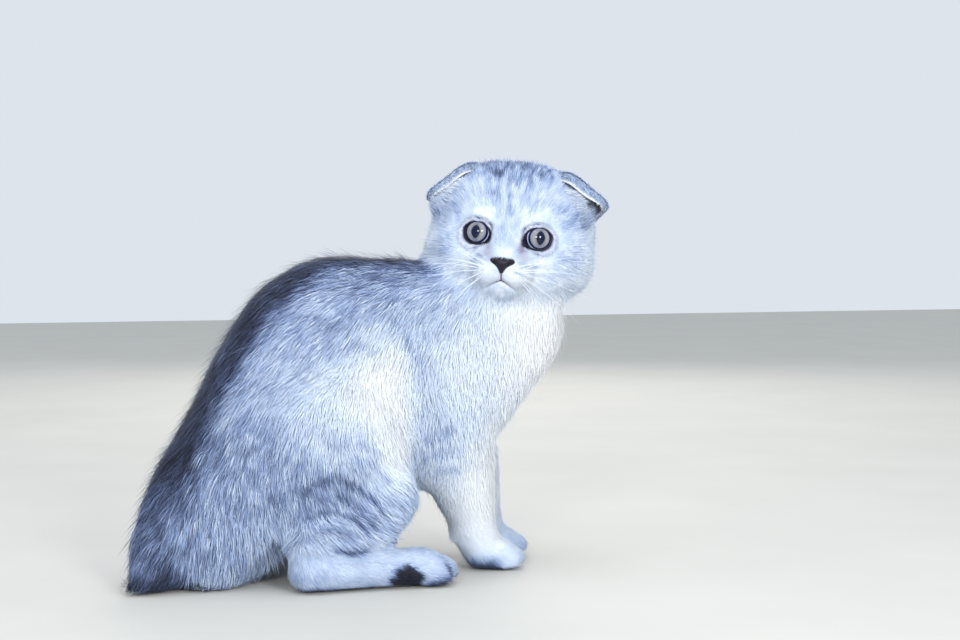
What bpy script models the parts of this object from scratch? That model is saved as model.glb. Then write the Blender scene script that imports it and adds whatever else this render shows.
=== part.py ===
"""Seated fold-eared kitten, a still life-size model of the animal out to the tips of its coat.

The kitten faces +X with its left side at +Y and the floor at z = 0. Trunk, neck, thighs, upper
legs and tail flow into one another and are parted by thin cuts. The feet and the head are
finer forms of their own. The head is turned to the kitten's right. Lengths are in metres.
"""
import math

import bmesh
import bpy
import numpy as np
from mathutils import Matrix, Vector
from mathutils.bvhtree import BVHTree

MM = 0.001
GAP = 0.3 * MM
REACH = 160 * MM

# Trunk, each row one section: back point x, z, belly point x, z, half width, sideways shift
TRUNK_SECTIONS_MM = (
    (-64, 30, -36, -4, 24, -4),
    (-63, 50, -22, -4, 35, -3),
    (-53, 72, -8, 4, 41, -1),
    (-41, 94, 8, 16, 44, 0),
    (-28, 120, 24, 26, 45, 0),
    (-9, 147, 44, 34, 44, 0),
    (18, 163, 64, 40, 41, -1),
    (50, 164, 84, 44, 38, -3),
    (78, 163, 107, 58, 36, -5),
    (97, 166, 130, 86, 35, -7),
    (106, 172, 149, 113, 34, -9),
    (107, 184, 149, 142, 32, -12),
)
TRUNK_FULLNESS = 2.25
TRUNK_BELLY_SWELL = 0.10

# Places where the trunk is parted: x, z and lean of each cut
NECK_CUT = (122 * MM, 143 * MM, math.radians(38))
CHEST_CUT = (70 * MM, 100 * MM, math.radians(-14))
RUMP_CUT = (-20 * MM, 62 * MM, math.radians(-40))

# Hind leg, measured on one side, each form as centre and radii
THIGH = ((19 * MM, 33 * MM, 62 * MM), (43 * MM, 23 * MM, 46 * MM))
HIP = ((-6 * MM, 26 * MM, 62 * MM), (36 * MM, 21 * MM, 44 * MM))
BUTTOCK = ((-38 * MM, 22 * MM, 18 * MM), (22 * MM, 20 * MM, 24 * MM))
THIGH_LEAN = math.radians(8)
THIGH_CUT = ((20 * MM, 27 * MM, 62 * MM), (47 * MM, 50 * MM, 50 * MM))
KNEE = (46 * MM, 42 * MM, 44 * MM)
SHIN = (34 * MM, 46.5 * MM, 29 * MM)
HOCK = (3 * MM, 49 * MM, 20 * MM)
KNEE_RADIUS = 17 * MM
SHIN_RADIUS = 14 * MM
HOCK_RADIUS = 12 * MM

# Hind foot
HIND_FOOT_LINE = 51 * MM
HIND_HEEL_X = 3 * MM
HIND_INSTEP_X = 29 * MM
HIND_BALL_X = 58 * MM
HIND_TOE_X = 70 * MM
HIND_FOOT_HALF_WIDTH = 11 * MM
HIND_FOOT_AXIS_HEIGHT = 10.5 * MM
HIND_BALL_RADII = (15 * MM, 12.5 * MM, 11 * MM)
HIND_BALL_HEIGHT = 9 * MM
HIND_TOE_RADII = (10 * MM, 4.2 * MM, 8.6 * MM)
HIND_FOOT_CUT = (-16 * MM, 110 * MM, 30 * MM, 23 * MM)

# Foreleg: the right one's places; the left one stands a little ahead
FORELEG_LINE = 18 * MM
SHOULDER = ((88 * MM, 24 * MM, 92 * MM), (27 * MM, 15 * MM, 40 * MM))
ELBOW = (92 * MM, 19 * MM, 54 * MM)
WRIST = (100 * MM, 18 * MM, 22 * MM)
ELBOW_RADIUS = 20 * MM
WRIST_RADIUS = 13 * MM
LEFT_FORELEG_AHEAD = 16 * MM
FORELEG_CUT = (66 * MM, 150 * MM, 62 * MM)
FOREPAW_CUT = (80 * MM, 160 * MM, 21 * MM)
FOREPAW_BALL_X = 109 * MM
FOREPAW_BALL_RADII = (14 * MM, 12.5 * MM, 10 * MM)
FOREPAW_BALL_HEIGHT = 8 * MM
FOREPAW_TOE_X = 119 * MM
FOREPAW_TOE_RADII = (10 * MM, 4.1 * MM, 7.2 * MM)
CARPAL_PAD_HEIGHT = 17 * MM
CARPAL_PAD_RADIUS = 3 * MM

# Feet in common
TOES = 4
TOE_PITCH = 6.2 * MM
TOE_SPREAD = math.radians(5)
OUTER_TOE_SETBACK = 4.5 * MM
SOLE_SINK = 1.5 * MM

# Tail, each row: centre x, y, z and radius; the cuts are shares of its length
TAIL_LINE_MM = (
    (-45, -4, 54, 19),
    (-54, -10, 40, 18),
    (-61, -17, 26, 17),
    (-67, -23, 14, 15),
    (-74, -28, 8, 10),
    (-80, -30, 5, 5),
)
TAIL_CUTS = (("tail_tip", 0.66), ("tail_middle", 0.42), ("tail_root", 0.20))
TAIL_CUT_REACH = 26 * MM

# Head, in its own axes: f towards the nose, l to the kitten's left, u up
HEAD_ORIGIN = (122 * MM, -15 * MM, 172 * MM)
HEAD_YAW = math.radians(-115.5)
HEAD_ROLL = math.radians(6.0)
CRANIUM = ((-6 * MM, 0, 4 * MM), (33.5 * MM, 43.5 * MM, 38 * MM))
CRANIUM_FULLNESS = 2.4
PAIRED_FORMS = {
    "cheek": ((0, 23 * MM, -8 * MM), (27 * MM, 22 * MM, 22 * MM)),
    "jowl": ((12 * MM, 15 * MM, -17 * MM), (18 * MM, 17 * MM, 14 * MM)),
    "brow": ((19 * MM, 13 * MM, 11 * MM), (11 * MM, 12 * MM, 9 * MM)),
    "whisker_pad": ((32.5 * MM, 6.8 * MM, -16.5 * MM), (9.5 * MM, 8.6 * MM, 7.5 * MM)),
}
SINGLE_FORMS = {
    "face": ((14 * MM, 0, -10 * MM), (22 * MM, 24 * MM, 21 * MM)),
    "chin": ((26 * MM, 0, -24.5 * MM), (9.5 * MM, 10.5 * MM, 7 * MM)),
}
NOSE_BRIDGE_MM = ((18, 0, 16, 11), (25, 0, 4, 9), (36.5, 0, -9, 7))

# Eyes, in the head's axes, measured on one side
EYE_CENTRE = (19.5 * MM, 14.4 * MM, 2.0 * MM)
EYE_RADIUS = 8.6 * MM
EYE_TURN_OUT = math.radians(12.0)
EYE_OPENING = (7.6 * MM, 6.4 * MM)
LID_THICKNESS = 1.6 * MM
LID_FLARE = 1.12
CORNEA_RISE = 1.1 * MM
CORNEA_SPAN = math.radians(46)
SOCKET_CLEARANCE = 0.63 * MM

# Nose leather and mouth, in the head's axes; nose forms are set from the tip
NOSE_TIP = (44.5 * MM, 0.0, -12.0 * MM)
NOSE_TOP = ((-3.5 * MM, 0, 1.7 * MM), (4.6 * MM, 5.6 * MM, 2.3 * MM))
NOSE_WING = ((-4.2 * MM, 3.7 * MM, 1.5 * MM), (4.0 * MM, 2.8 * MM, 2.1 * MM))
NOSE_FLANK = ((-3.9 * MM, 0, 0.2 * MM), (4.3 * MM, 4.1 * MM, 2.7 * MM))
NOSE_KEEL = ((-4.2 * MM, 0, -1.6 * MM), (4.2 * MM, 2.9 * MM, 3.7 * MM))
NOSTRIL = ((-0.7 * MM, 3.6 * MM, 0.3 * MM), (2.0 * MM, 1.3 * MM, 0.7 * MM))
NOSTRIL_SLANT = math.radians(28)
NOSE_FOOT = -3.8 * MM
MOUTH_LEVEL = -20.5 * MM
MOUTH_HALF_WIDTH = 8.4 * MM
MOUTH_DROP = 4.4 * MM
MOUTH_CURVE = 1.2
MOUTH_LINE_RADIUS = 0.75 * MM
LIP_CLEFT_RADIUS = 0.6 * MM

# Folded ears, in the head's axes, measured on one side: lines from the inner end round the tip
# to the outer end, along the root behind, the crest of the fold and the free edge in front
EAR_ROOT_LINE_MM = ((-12, 17, 34), (-14, 26, 31), (-14, 34, 24), (-11, 38, 15), (-6, 37, 8))
EAR_CREST_LINE_MM = ((-3, 18, 36.5), (-2, 27, 36.9), (0, 36.4, 30.4), (4, 45.6, 20.3), (-3, 38, 13))
EAR_EDGE_LINE_MM = ((6, 19, 34), (13, 27, 32), (15, 35.7, 25.4), (8, 44.9, 19.1), (1, 37.5, 13))
EAR_THICKNESS = 2.2 * MM
EAR_HOLLOW = ((6 * MM, 35 * MM, 20 * MM), (8 * MM, 6 * MM, 10 * MM))

# The left ear is carried a little higher and the right one lower, turned about its inner end
EAR_PIVOT = (0, 25 * MM, 36.4 * MM)
EAR_TILT = math.radians(6)

# Fineness of the fused forms: voxel, rounds of easing and triangles that are kept
BODY_GRAIN = (2.2 * MM, 8, 3000)
FOOT_GRAIN = (1.2 * MM, 3, 340)
HEAD_GRAIN = (1.2 * MM, 12, 2600)
NOSE_GRAIN = (0.45 * MM, 4, 240)

# Colour and roughness of each finish
FINISHES = {
    "silver_white_fur": ((0.70, 0.75, 0.82), 0.9),
    "silver_grey_fur": ((0.30, 0.34, 0.42), 0.9),
    "white_fur": ((0.86, 0.88, 0.91), 0.9),
    "slate_fur": ((0.12, 0.13, 0.17), 0.9),
    "nose_leather": ((0.03, 0.02, 0.025), 0.45),
    "grey_iris": ((0.26, 0.26, 0.22), 0.12),
}
NODE_FINISH = {
    "nose": "nose_leather", "left_eye": "grey_iris", "right_eye": "grey_iris",
    "neck": "white_fur", "chest": "white_fur", "left_forepaw": "white_fur",
    "right_forepaw": "white_fur", "torso": "silver_grey_fur", "rump": "silver_grey_fur",
    "tail_root": "silver_grey_fur", "tail_middle": "silver_grey_fur", "tail_tip": "slate_fur",
    "left_ear": "silver_grey_fur", "right_ear": "silver_grey_fur",
}
SIDES = ((1, "left"), (-1, "right"))


def clear_scene():
    """Remove whatever the scene holds."""
    for item in list(bpy.context.scene.objects):
        bpy.data.objects.remove(item, do_unlink=True)


def material(name, colour, roughness):
    """A plain surface material of one colour."""
    surface = bpy.data.materials.new(name)
    surface.use_nodes = True
    shader = surface.node_tree.nodes["Principled BSDF"]
    shader.inputs["Base Color"].default_value = (*colour, 1.0)
    shader.inputs["Roughness"].default_value = roughness
    shader.inputs["Metallic"].default_value = 0.0
    return surface


def through(values, count):
    """Catmull-Rom curve through rows of numbers, read at count even steps."""
    rows = np.asarray(values, dtype=float)
    padded = np.vstack([2 * rows[0] - rows[1], rows, 2 * rows[-1] - rows[-2]])
    spots = np.linspace(0, len(rows) - 1, count)
    start = np.minimum(spots.astype(int), len(rows) - 2)
    t = (spots - start)[:, None]
    a, b, c, d = (padded[start + k] for k in range(4))
    return 0.5 * (2 * b + (c - a) * t + (2 * a - 5 * b + 4 * c - d) * t ** 2
                  + (3 * b - a - 3 * c + d) * t ** 3)


def mirrored(point, side):
    """A point measured on one side, placed on the left (+1) or the right (-1)."""
    return Vector((point[0], point[1] * side, point[2]))


def add_rings(bm, rings):
    """Skin rows of ring points into a closed tube with a fan at each end."""
    rows = [[bm.verts.new(point) for point in ring] for ring in rings]
    count = len(rows[0])
    for low, high in zip(rows, rows[1:]):
        for k in range(count):
            after = (k + 1) % count
            bm.faces.new((low[k], low[after], high[after], high[k]))
    for row, backwards in ((rows[0], True), (rows[-1], False)):
        middle = bm.verts.new(sum((vert.co for vert in row), Vector()) / count)
        for k in range(count):
            after = (k + 1) % count
            fan = (row[after], row[k], middle) if backwards else (row[k], row[after], middle)
            bm.faces.new(fan)


def add_ball(bm, centre, radii, turn=None, segments=28):
    """A ball stretched to its three radii, turned and then moved to its centre."""
    stretch = Matrix.Diagonal((*radii, 1.0))
    place = Matrix.Translation(centre) @ (turn or Matrix()) @ stretch
    bmesh.ops.create_uvsphere(bm, u_segments=segments, v_segments=segments // 2, radius=1.0,
                              matrix=place)


def add_full_ball(bm, centre, radii, fullness, segments=40):
    """A ball with fuller sides than an ellipsoid: the powers of its shares sum to one."""
    made = bmesh.ops.create_uvsphere(bm, u_segments=segments, v_segments=segments // 2,
                                     radius=1.0)
    for vert in made["verts"]:
        share = sum(abs(c) ** fullness for c in vert.co) ** (-1 / fullness)
        vert.co = Vector([c * share * r for c, r in zip(vert.co, radii)]) + Vector(centre)


def add_limb(bm, line, sides=24, rounds=30, round_ends=True):
    """A round limb: rows of x, y, z and radius joined by rings square to the path."""
    rows = through(line, rounds)
    centres, radii = rows[:, :3], rows[:, 3]
    along = np.gradient(centres, axis=0)
    along /= np.linalg.norm(along, axis=1)[:, None]
    side = np.cross(along, (0.31, 0.95, 0.05))
    side /= np.linalg.norm(side, axis=1)[:, None]
    other = np.cross(along, side)
    angles = np.linspace(0, math.tau, sides, endpoint=False)
    turn = (np.cos(angles)[None, :, None] * side[:, None]
            + np.sin(angles)[None, :, None] * other[:, None])
    add_rings(bm, centres[:, None] + radii[:, None, None] * turn)
    if round_ends:
        for end in (0, -1):
            add_ball(bm, centres[end], (radii[end],) * 3, segments=16)


def object_from(bm, name):
    """Turn a scratch mesh into an object of the scene."""
    bmesh.ops.recalc_face_normals(bm, faces=bm.faces)
    mesh = bpy.data.meshes.new(name)
    bm.to_mesh(mesh)
    bm.free()
    made = bpy.data.objects.new(name, mesh)
    bpy.context.scene.collection.objects.link(made)
    return made


def copy_of(item, name):
    """A second object with its own mesh."""
    twin = bpy.data.objects.new(name, item.data.copy())
    bpy.context.scene.collection.objects.link(twin)
    return twin


def remove(*items):
    """Take scratch objects out of the scene."""
    for item in items:
        bpy.data.objects.remove(item, do_unlink=True)


def settle(item):
    """Put an object's modifiers into its mesh."""
    bpy.context.view_layer.update()
    evaluated = item.evaluated_get(bpy.context.evaluated_depsgraph_get())
    mesh = bpy.data.meshes.new_from_object(evaluated)
    item.modifiers.clear()
    item.data = mesh


def keep_largest(item):
    """Keep only the closed surface with the most room inside."""
    bm = bmesh.new()
    bm.from_mesh(item.data)
    bmesh.ops.triangulate(bm, faces=bm.faces)
    left = set(bm.faces)
    shells = []
    while left:
        shell, front = set(), [left.pop()]
        while front:
            face = front.pop()
            shell.add(face)
            for edge in face.edges:
                for near in edge.link_faces:
                    if near in left:
                        left.discard(near)
                        front.append(near)
        shells.append(shell)

    def room(shell):
        return sum(f.verts[0].co.dot(f.verts[1].co.cross(f.verts[2].co)) for f in shell)

    largest = max(shells, key=room)
    spare = [face for face in bm.faces if face not in largest]
    bmesh.ops.delete(bm, geom=spare, context="FACES")
    loose = [vert for vert in bm.verts if not vert.link_faces]
    bmesh.ops.delete(bm, geom=loose, context="VERTS")
    bm.to_mesh(item.data)
    bm.free()


def fuse(bm, name, grain):
    """Fuse overlapping closed forms into one smooth skin of about the wanted triangles."""
    voxel, rounds, triangles = grain
    item = object_from(bm, name)
    remesh = item.modifiers.new("Fuse", "REMESH")
    remesh.mode = "VOXEL"
    remesh.voxel_size = voxel
    remesh.adaptivity = 0.0
    smooth = item.modifiers.new("Ease", "SMOOTH")
    smooth.factor = 0.5
    smooth.iterations = rounds
    settle(item)
    keep_largest(item)
    thin = item.modifiers.new("Thin", "DECIMATE")
    thin.ratio = triangles / len(item.data.polygons)
    settle(item)
    keep_largest(item)
    return item


def combine(item, cutter, operation):
    """Apply one Boolean and keep the largest body that is left."""
    step = item.modifiers.new("Cut", "BOOLEAN")
    step.operation = operation
    step.solver = "EXACT"
    step.object = cutter
    settle(item)
    keep_largest(item)


def cut_away(item, *cutters):
    """Cut an object by each cutter in turn, and remove the cutters."""
    for cutter in cutters:
        combine(item, cutter, "DIFFERENCE")
        remove(cutter)


def swollen(item, name):
    """A copy whose surface stands off by the gap."""
    twin = copy_of(item, name)
    bm = bmesh.new()
    bm.from_mesh(twin.data)
    bm.normal_update()
    moves = [(vert, vert.normal.copy()) for vert in bm.verts]
    for vert, normal in moves:
        vert.co += normal * GAP
    bm.to_mesh(twin.data)
    bm.free()
    return twin


def box_maker(low, high, turn=None, pivot=(0, 0, 0)):
    """Maker of a box cutter, turned about its pivot, that grows by the margin it is given."""
    def make(grow):
        wide = Vector((grow, grow, grow))
        corner = Vector(low) - wide
        span = Vector(high) + wide - corner
        about = Matrix.Translation(pivot) @ (turn or Matrix())
        size = Matrix.Translation(corner + span / 2) @ Matrix.Diagonal((*span, 1.0))
        bm = bmesh.new()
        bmesh.ops.create_cube(bm, size=1.0, matrix=about @ size)
        return object_from(bm, "cutter")
    return make


def part_with(body, piece, make_cutter):
    """Keep a piece inside a cutter, and clear the body from round it by the gap."""
    inner = make_cutter(0.0)
    outer = make_cutter(GAP)
    combine(piece, inner, "INTERSECT")
    combine(body, outer, "DIFFERENCE")
    remove(inner, outer)
    return piece


def part_off(body, name, make_cutter):
    """Take the stretch of the body inside a cutter as its own piece."""
    return part_with(body, copy_of(body, name), make_cutter)


def trunk_rings(sides=40, rounds=64):
    """Sections square to the spine: egg-shaped, fuller towards the belly."""
    rows = through(TRUNK_SECTIONS_MM, rounds) * MM
    back = np.stack([rows[:, 0], rows[:, 5], rows[:, 1]], axis=1)
    belly = np.stack([rows[:, 2], rows[:, 5], rows[:, 3]], axis=1)
    centre = (back + belly) / 2
    rise = (back - belly) / 2
    across = np.array((0.0, 1.0, 0.0))
    angles = np.linspace(0, math.tau, sides, endpoint=False)
    power = 2 / TRUNK_FULLNESS
    up = np.sign(np.cos(angles)) * np.abs(np.cos(angles)) ** power
    out = np.sign(np.sin(angles)) * np.abs(np.sin(angles)) ** power
    swell = 1 - TRUNK_BELLY_SWELL * np.cos(angles)
    width = rows[:, 4][:, None] * (out * swell)[None, :]
    return (centre[:, None] + up[None, :, None] * rise[:, None]
            + width[:, :, None] * across)


def foreleg_ahead(side):
    """How far this side's foreleg stands ahead of the right one."""
    return Vector((LEFT_FORELEG_AHEAD if side > 0 else 0.0, 0, 0))


def fused_body():
    """Trunk, neck, thighs, upper legs and tail as one flowing form."""
    bm = bmesh.new()
    rings = trunk_rings()
    add_rings(bm, rings)
    for end in (0, -1):
        centre = rings[end].mean(axis=0)
        reach = np.linalg.norm(rings[end] - centre, axis=1).min()
        add_ball(bm, centre, (reach,) * 3)
    for side, _ in SIDES:
        lean = Matrix.Rotation(-THIGH_LEAN * side, 4, "X")
        add_ball(bm, mirrored(THIGH[0], side), THIGH[1], lean)
        for centre, radii in (HIP, BUTTOCK, SHOULDER):
            add_ball(bm, mirrored(centre, side), radii)
        add_limb(bm, (
            (*mirrored(KNEE, side), KNEE_RADIUS),
            (*mirrored(SHIN, side), SHIN_RADIUS),
            (*mirrored(HOCK, side), HOCK_RADIUS),
        ))
        ahead = foreleg_ahead(side)
        shoulder = mirrored(SHOULDER[0], side) + ahead / 2 - Vector((0, 0, KNEE_RADIUS / 2))
        wrist = mirrored(WRIST, side) + ahead
        add_limb(bm, (
            (*shoulder, ELBOW_RADIUS),
            (*(mirrored(ELBOW, side) + ahead), ELBOW_RADIUS),
            (*wrist, WRIST_RADIUS),
            (wrist.x, wrist.y, WRIST_RADIUS / 2, WRIST_RADIUS),
        ))
    add_limb(bm, np.asarray(TAIL_LINE_MM) * MM)
    return fuse(bm, "trunk", BODY_GRAIN)


def add_toes(bm, x, y, radii):
    """Four toes side by side, the outer ones set back."""
    for k in range(TOES):
        offset = k - (TOES - 1) / 2
        setback = OUTER_TOE_SETBACK * (abs(offset) - 0.5)
        centre = (x - setback, y + offset * TOE_PITCH, radii[2] - SOLE_SINK)
        add_ball(bm, centre, radii, Matrix.Rotation(TOE_SPREAD * offset, 4, "Z"), segments=20)


def hind_foot(side):
    """Long flat hind foot from heel to toes, with a stump that rises to the shin."""
    y = HIND_FOOT_LINE * side
    height = HIND_FOOT_AXIS_HEIGHT
    width = HIND_FOOT_HALF_WIDTH
    bm = bmesh.new()
    add_limb(bm, (
        (HIND_HEEL_X, y, height, width + 1 * MM),
        (HIND_INSTEP_X, y, height - 1 * MM, width),
        (HIND_BALL_X, y, height - 2 * MM, width - 1 * MM),
    ))
    add_ball(bm, (HIND_BALL_X, y, HIND_BALL_HEIGHT), HIND_BALL_RADII)
    add_limb(bm, ((*mirrored(HOCK, side), HOCK_RADIUS), (*mirrored(SHIN, side), SHIN_RADIUS)))
    add_toes(bm, HIND_TOE_X, y, HIND_TOE_RADII)
    return fuse(bm, "hind_foot", FOOT_GRAIN)


def forepaw(side):
    """Forepaw below the wrist, with the small pad behind it."""
    ahead = foreleg_ahead(side)
    wrist = mirrored(WRIST, side) + ahead
    bm = bmesh.new()
    add_limb(bm, (
        (wrist.x - 1 * MM, wrist.y, wrist.z + 10 * MM, WRIST_RADIUS + 1 * MM),
        (*wrist, WRIST_RADIUS),
        (wrist.x + 5 * MM, wrist.y, FOREPAW_BALL_HEIGHT + 1 * MM, WRIST_RADIUS - 2 * MM),
    ))
    add_ball(bm, (FOREPAW_BALL_X + ahead.x, wrist.y, FOREPAW_BALL_HEIGHT), FOREPAW_BALL_RADII)
    pad = (wrist.x - WRIST_RADIUS + 1 * MM, wrist.y, CARPAL_PAD_HEIGHT)
    add_ball(bm, pad, (CARPAL_PAD_RADIUS,) * 3)
    add_toes(bm, FOREPAW_TOE_X + ahead.x, wrist.y, FOREPAW_TOE_RADII)
    return fuse(bm, "forepaw", FOOT_GRAIN)


def head_frame():
    """Matrix that carries the head's own axes into the model's."""
    forward = Vector((math.cos(HEAD_YAW), math.sin(HEAD_YAW), 0))
    level_left = Vector((-forward.y, forward.x, 0))
    upright = Vector((0, 0, 1))
    left = level_left * math.cos(HEAD_ROLL) - upright * math.sin(HEAD_ROLL)
    up = upright * math.cos(HEAD_ROLL) + level_left * math.sin(HEAD_ROLL)
    turn = Matrix((forward, left, up)).transposed().to_4x4()
    return Matrix.Translation(HEAD_ORIGIN) @ turn


def head_form():
    """Cranium, cheeks, brow, muzzle and chin, fused in the head's own axes."""
    bm = bmesh.new()
    add_full_ball(bm, CRANIUM[0], CRANIUM[1], CRANIUM_FULLNESS)
    for side, _ in SIDES:
        for centre, radii in PAIRED_FORMS.values():
            add_ball(bm, mirrored(centre, side), radii)
        add_ball(bm, mirrored(EYE_CENTRE, side), (EYE_RADIUS + LID_THICKNESS,) * 3)
    for centre, radii in SINGLE_FORMS.values():
        add_ball(bm, centre, radii)
    add_limb(bm, np.asarray(NOSE_BRIDGE_MM) * MM)
    return fuse(bm, "head", HEAD_GRAIN)


def mouth_cutters(head):
    """Fine grooves laid on the face: the cleft down from the nose and the line of both lips."""
    tree = BVHTree.FromObject(head, bpy.context.evaluated_depsgraph_get())

    def on_face(left, up):
        start = Vector((REACH, left, up))
        return tree.ray_cast(start, Vector((-1, 0, 0)))[0].x

    lips = []
    for t in np.linspace(-1, 1, 17):
        left = MOUTH_HALF_WIDTH * t
        up = MOUTH_LEVEL - MOUTH_DROP * abs(t) ** MOUTH_CURVE
        lips.append((on_face(left, up), left, up, MOUTH_LINE_RADIUS))
    cleft = []
    for up in np.linspace(NOSE_TIP[2] + NOSE_FOOT, MOUTH_LEVEL, 5):
        cleft.append((on_face(0.0, up), 0.0, up, LIP_CLEFT_RADIUS))
    grooves = []
    for name, line, rounds in (("lip_groove", lips, 15), ("lip_cleft", cleft, 7)):
        bm = bmesh.new()
        add_limb(bm, line, sides=6, rounds=rounds, round_ends=False)
        grooves.append(object_from(bm, name))
    return grooves


def eye_axis(side):
    """Way the eye looks, in the head's axes."""
    return Vector((math.cos(EYE_TURN_OUT), math.sin(EYE_TURN_OUT) * side, 0.0))


def eye_place(side):
    """Matrix that carries the z axis onto the eye's line of sight, about its centre."""
    turn = eye_axis(side).to_track_quat("Z", "Y").to_matrix().to_4x4()
    return Matrix.Translation(mirrored(EYE_CENTRE, side)) @ turn


def eyeball(side):
    """Ball of the eye with the clear front standing a little proud."""
    bm = bmesh.new()
    bmesh.ops.create_uvsphere(bm, u_segments=22, v_segments=14, radius=EYE_RADIUS)
    for vert in bm.verts:
        tilt = vert.co.angle(Vector((0, 0, 1)))
        bulge = max(0.0, 1 - (tilt / CORNEA_SPAN) ** 2)
        vert.co *= 1 + CORNEA_RISE / EYE_RADIUS * bulge
    bmesh.ops.transform(bm, matrix=eye_place(side), verts=bm.verts)
    return object_from(bm, "eyeball")


def eye_cutters(side):
    """The oval opening between the lids, and the socket a hair larger than the eyeball."""
    depth = 3 * EYE_RADIUS
    bm = bmesh.new()
    bmesh.ops.create_cone(bm, cap_ends=True, segments=28, radius1=1.0, radius2=LID_FLARE,
                          depth=1.0)
    size = Matrix.Diagonal((*EYE_OPENING, depth, 1.0))
    place = eye_place(side) @ Matrix.Translation((0, 0, depth / 2)) @ size
    bmesh.ops.transform(bm, matrix=place, verts=bm.verts)
    opening = object_from(bm, "lid_opening")
    bm = bmesh.new()
    bmesh.ops.create_uvsphere(bm, u_segments=18, v_segments=12,
                              radius=EYE_RADIUS + SOCKET_CLEARANCE)
    bmesh.ops.transform(bm, matrix=Matrix.Translation(mirrored(EYE_CENTRE, side)), verts=bm.verts)
    return opening, object_from(bm, "socket")


def nose_form():
    """Nose leather: a blunt heart, wide above and narrowing to the lip, with two nostrils."""
    tip = Vector(NOSE_TIP)
    bm = bmesh.new()
    for centre, radii in (NOSE_TOP, NOSE_FLANK, NOSE_KEEL):
        add_ball(bm, tip + Vector(centre), radii)
    for side, _ in SIDES:
        add_ball(bm, tip + mirrored(NOSE_WING[0], side), NOSE_WING[1], segments=20)
    nose = fuse(bm, "nose", NOSE_GRAIN)
    for side, _ in SIDES:
        slant = Matrix.Rotation(-NOSTRIL_SLANT * side, 4, "X")
        bm = bmesh.new()
        add_ball(bm, tip + mirrored(NOSTRIL[0], side), NOSTRIL[1], slant, segments=10)
        cut_away(nose, object_from(bm, "nostril"))
    return nose


def ear_turn(side):
    """Matrix that carries an ear up on the left and down on the right, about its inner end."""
    pivot = Matrix.Translation(mirrored(EAR_PIVOT, side))
    return pivot @ Matrix.Rotation(EAR_TILT, 4, "X") @ pivot.inverted()


def ear_form(side, across=15, over=7):
    """Folded ear: each strip is a parabola from the root over the crest to the free edge."""
    root = through(EAR_ROOT_LINE_MM, across) * MM
    crest = through(EAR_CREST_LINE_MM, across) * MM
    edge = through(EAR_EDGE_LINE_MM, across) * MM
    pull = 2 * crest - (root + edge) / 2
    bm = bmesh.new()
    grid = []
    for t in np.linspace(0, 1, over):
        row = (1 - t) ** 2 * root + 2 * t * (1 - t) * pull + t ** 2 * edge
        grid.append([bm.verts.new(mirrored(spot, side)) for spot in row])
    for low, high in zip(grid, grid[1:]):
        for i in range(across - 1):
            bm.faces.new((low[i], low[i + 1], high[i + 1], high[i]))
    ear = object_from(bm, "ear")
    shell = ear.modifiers.new("Thickness", "SOLIDIFY")
    shell.thickness = EAR_THICKNESS
    shell.offset = 0.0
    settle(ear)
    keep_largest(ear)
    ear.data.transform(ear_turn(side))
    return ear


def make_head(nodes):
    """Head, ears, eyes and nose; gives back the swollen head that cuts the neck."""
    head = head_form()
    grooves = mouth_cutters(head)
    outer_head = swollen(head, "outer_head")
    nodes["head"] = head
    nodes["nose"] = nose_form()
    for side, name in SIDES:
        ear = ear_form(side)
        combine(ear, outer_head, "DIFFERENCE")
        nodes[name + "_ear"] = ear
        nodes[name + "_eye"] = eyeball(side)
        bm = bmesh.new()
        add_ball(bm, mirrored(EAR_HOLLOW[0], side), EAR_HOLLOW[1], segments=14)
        bmesh.ops.transform(bm, matrix=ear_turn(side), verts=bm.verts)
        cut_away(head, *eye_cutters(side), object_from(bm, "ear_hollow"))
    cut_away(head, *grooves, swollen(nodes["nose"], "nose_room"))
    place = head_frame()
    for item in (*nodes.values(), outer_head):
        item.data.transform(place)
    return outer_head


def side_span(near, far, side):
    """Inner and outer distances from the middle plane as low and high y."""
    return (near, far) if side > 0 else (-far, -near)


def thigh_maker(side):
    """Maker of the round cutter, an oval drum lying across the body, that frees the thigh."""
    centre, (half_long, deep, half_high) = THIGH_CUT

    def make(grow):
        middle = mirrored((centre[0], centre[1] + deep / 2, centre[2]), side)
        size = Matrix.Diagonal((half_long + grow, deep + 2 * grow, half_high + grow, 1.0))
        turn = Matrix.Rotation(math.radians(90), 4, "X")
        bm = bmesh.new()
        bmesh.ops.create_cone(bm, cap_ends=True, segments=36, radius1=1.0, radius2=1.0,
                              depth=1.0, matrix=Matrix.Translation(middle) @ size @ turn)
        return object_from(bm, "cutter")
    return make


def part_legs(body, nodes, side, name):
    """Hind foot, forepaw, foreleg and thigh of one side."""
    start, end, near, top = HIND_FOOT_CUT
    low_y, high_y = side_span(near, REACH, side)
    room = box_maker((start, low_y, -REACH), (end, high_y, top))
    nodes[name + "_hind_foot"] = part_with(body, hind_foot(side), room)

    low_y, high_y = side_span(GAP / 2, REACH / 2, side)
    start, end, paw_top = FOREPAW_CUT
    room = box_maker((start, low_y, -REACH), (end, high_y, paw_top))
    nodes[name + "_forepaw"] = part_with(body, forepaw(side), room)

    start, end, top = FORELEG_CUT
    room = box_maker((start, low_y, paw_top - 2 * MM), (end, high_y, top))
    nodes[name + "_foreleg"] = part_off(body, name + "_foreleg", room)
    nodes[name + "_thigh"] = part_off(body, name + "_thigh", thigh_maker(side))


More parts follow.
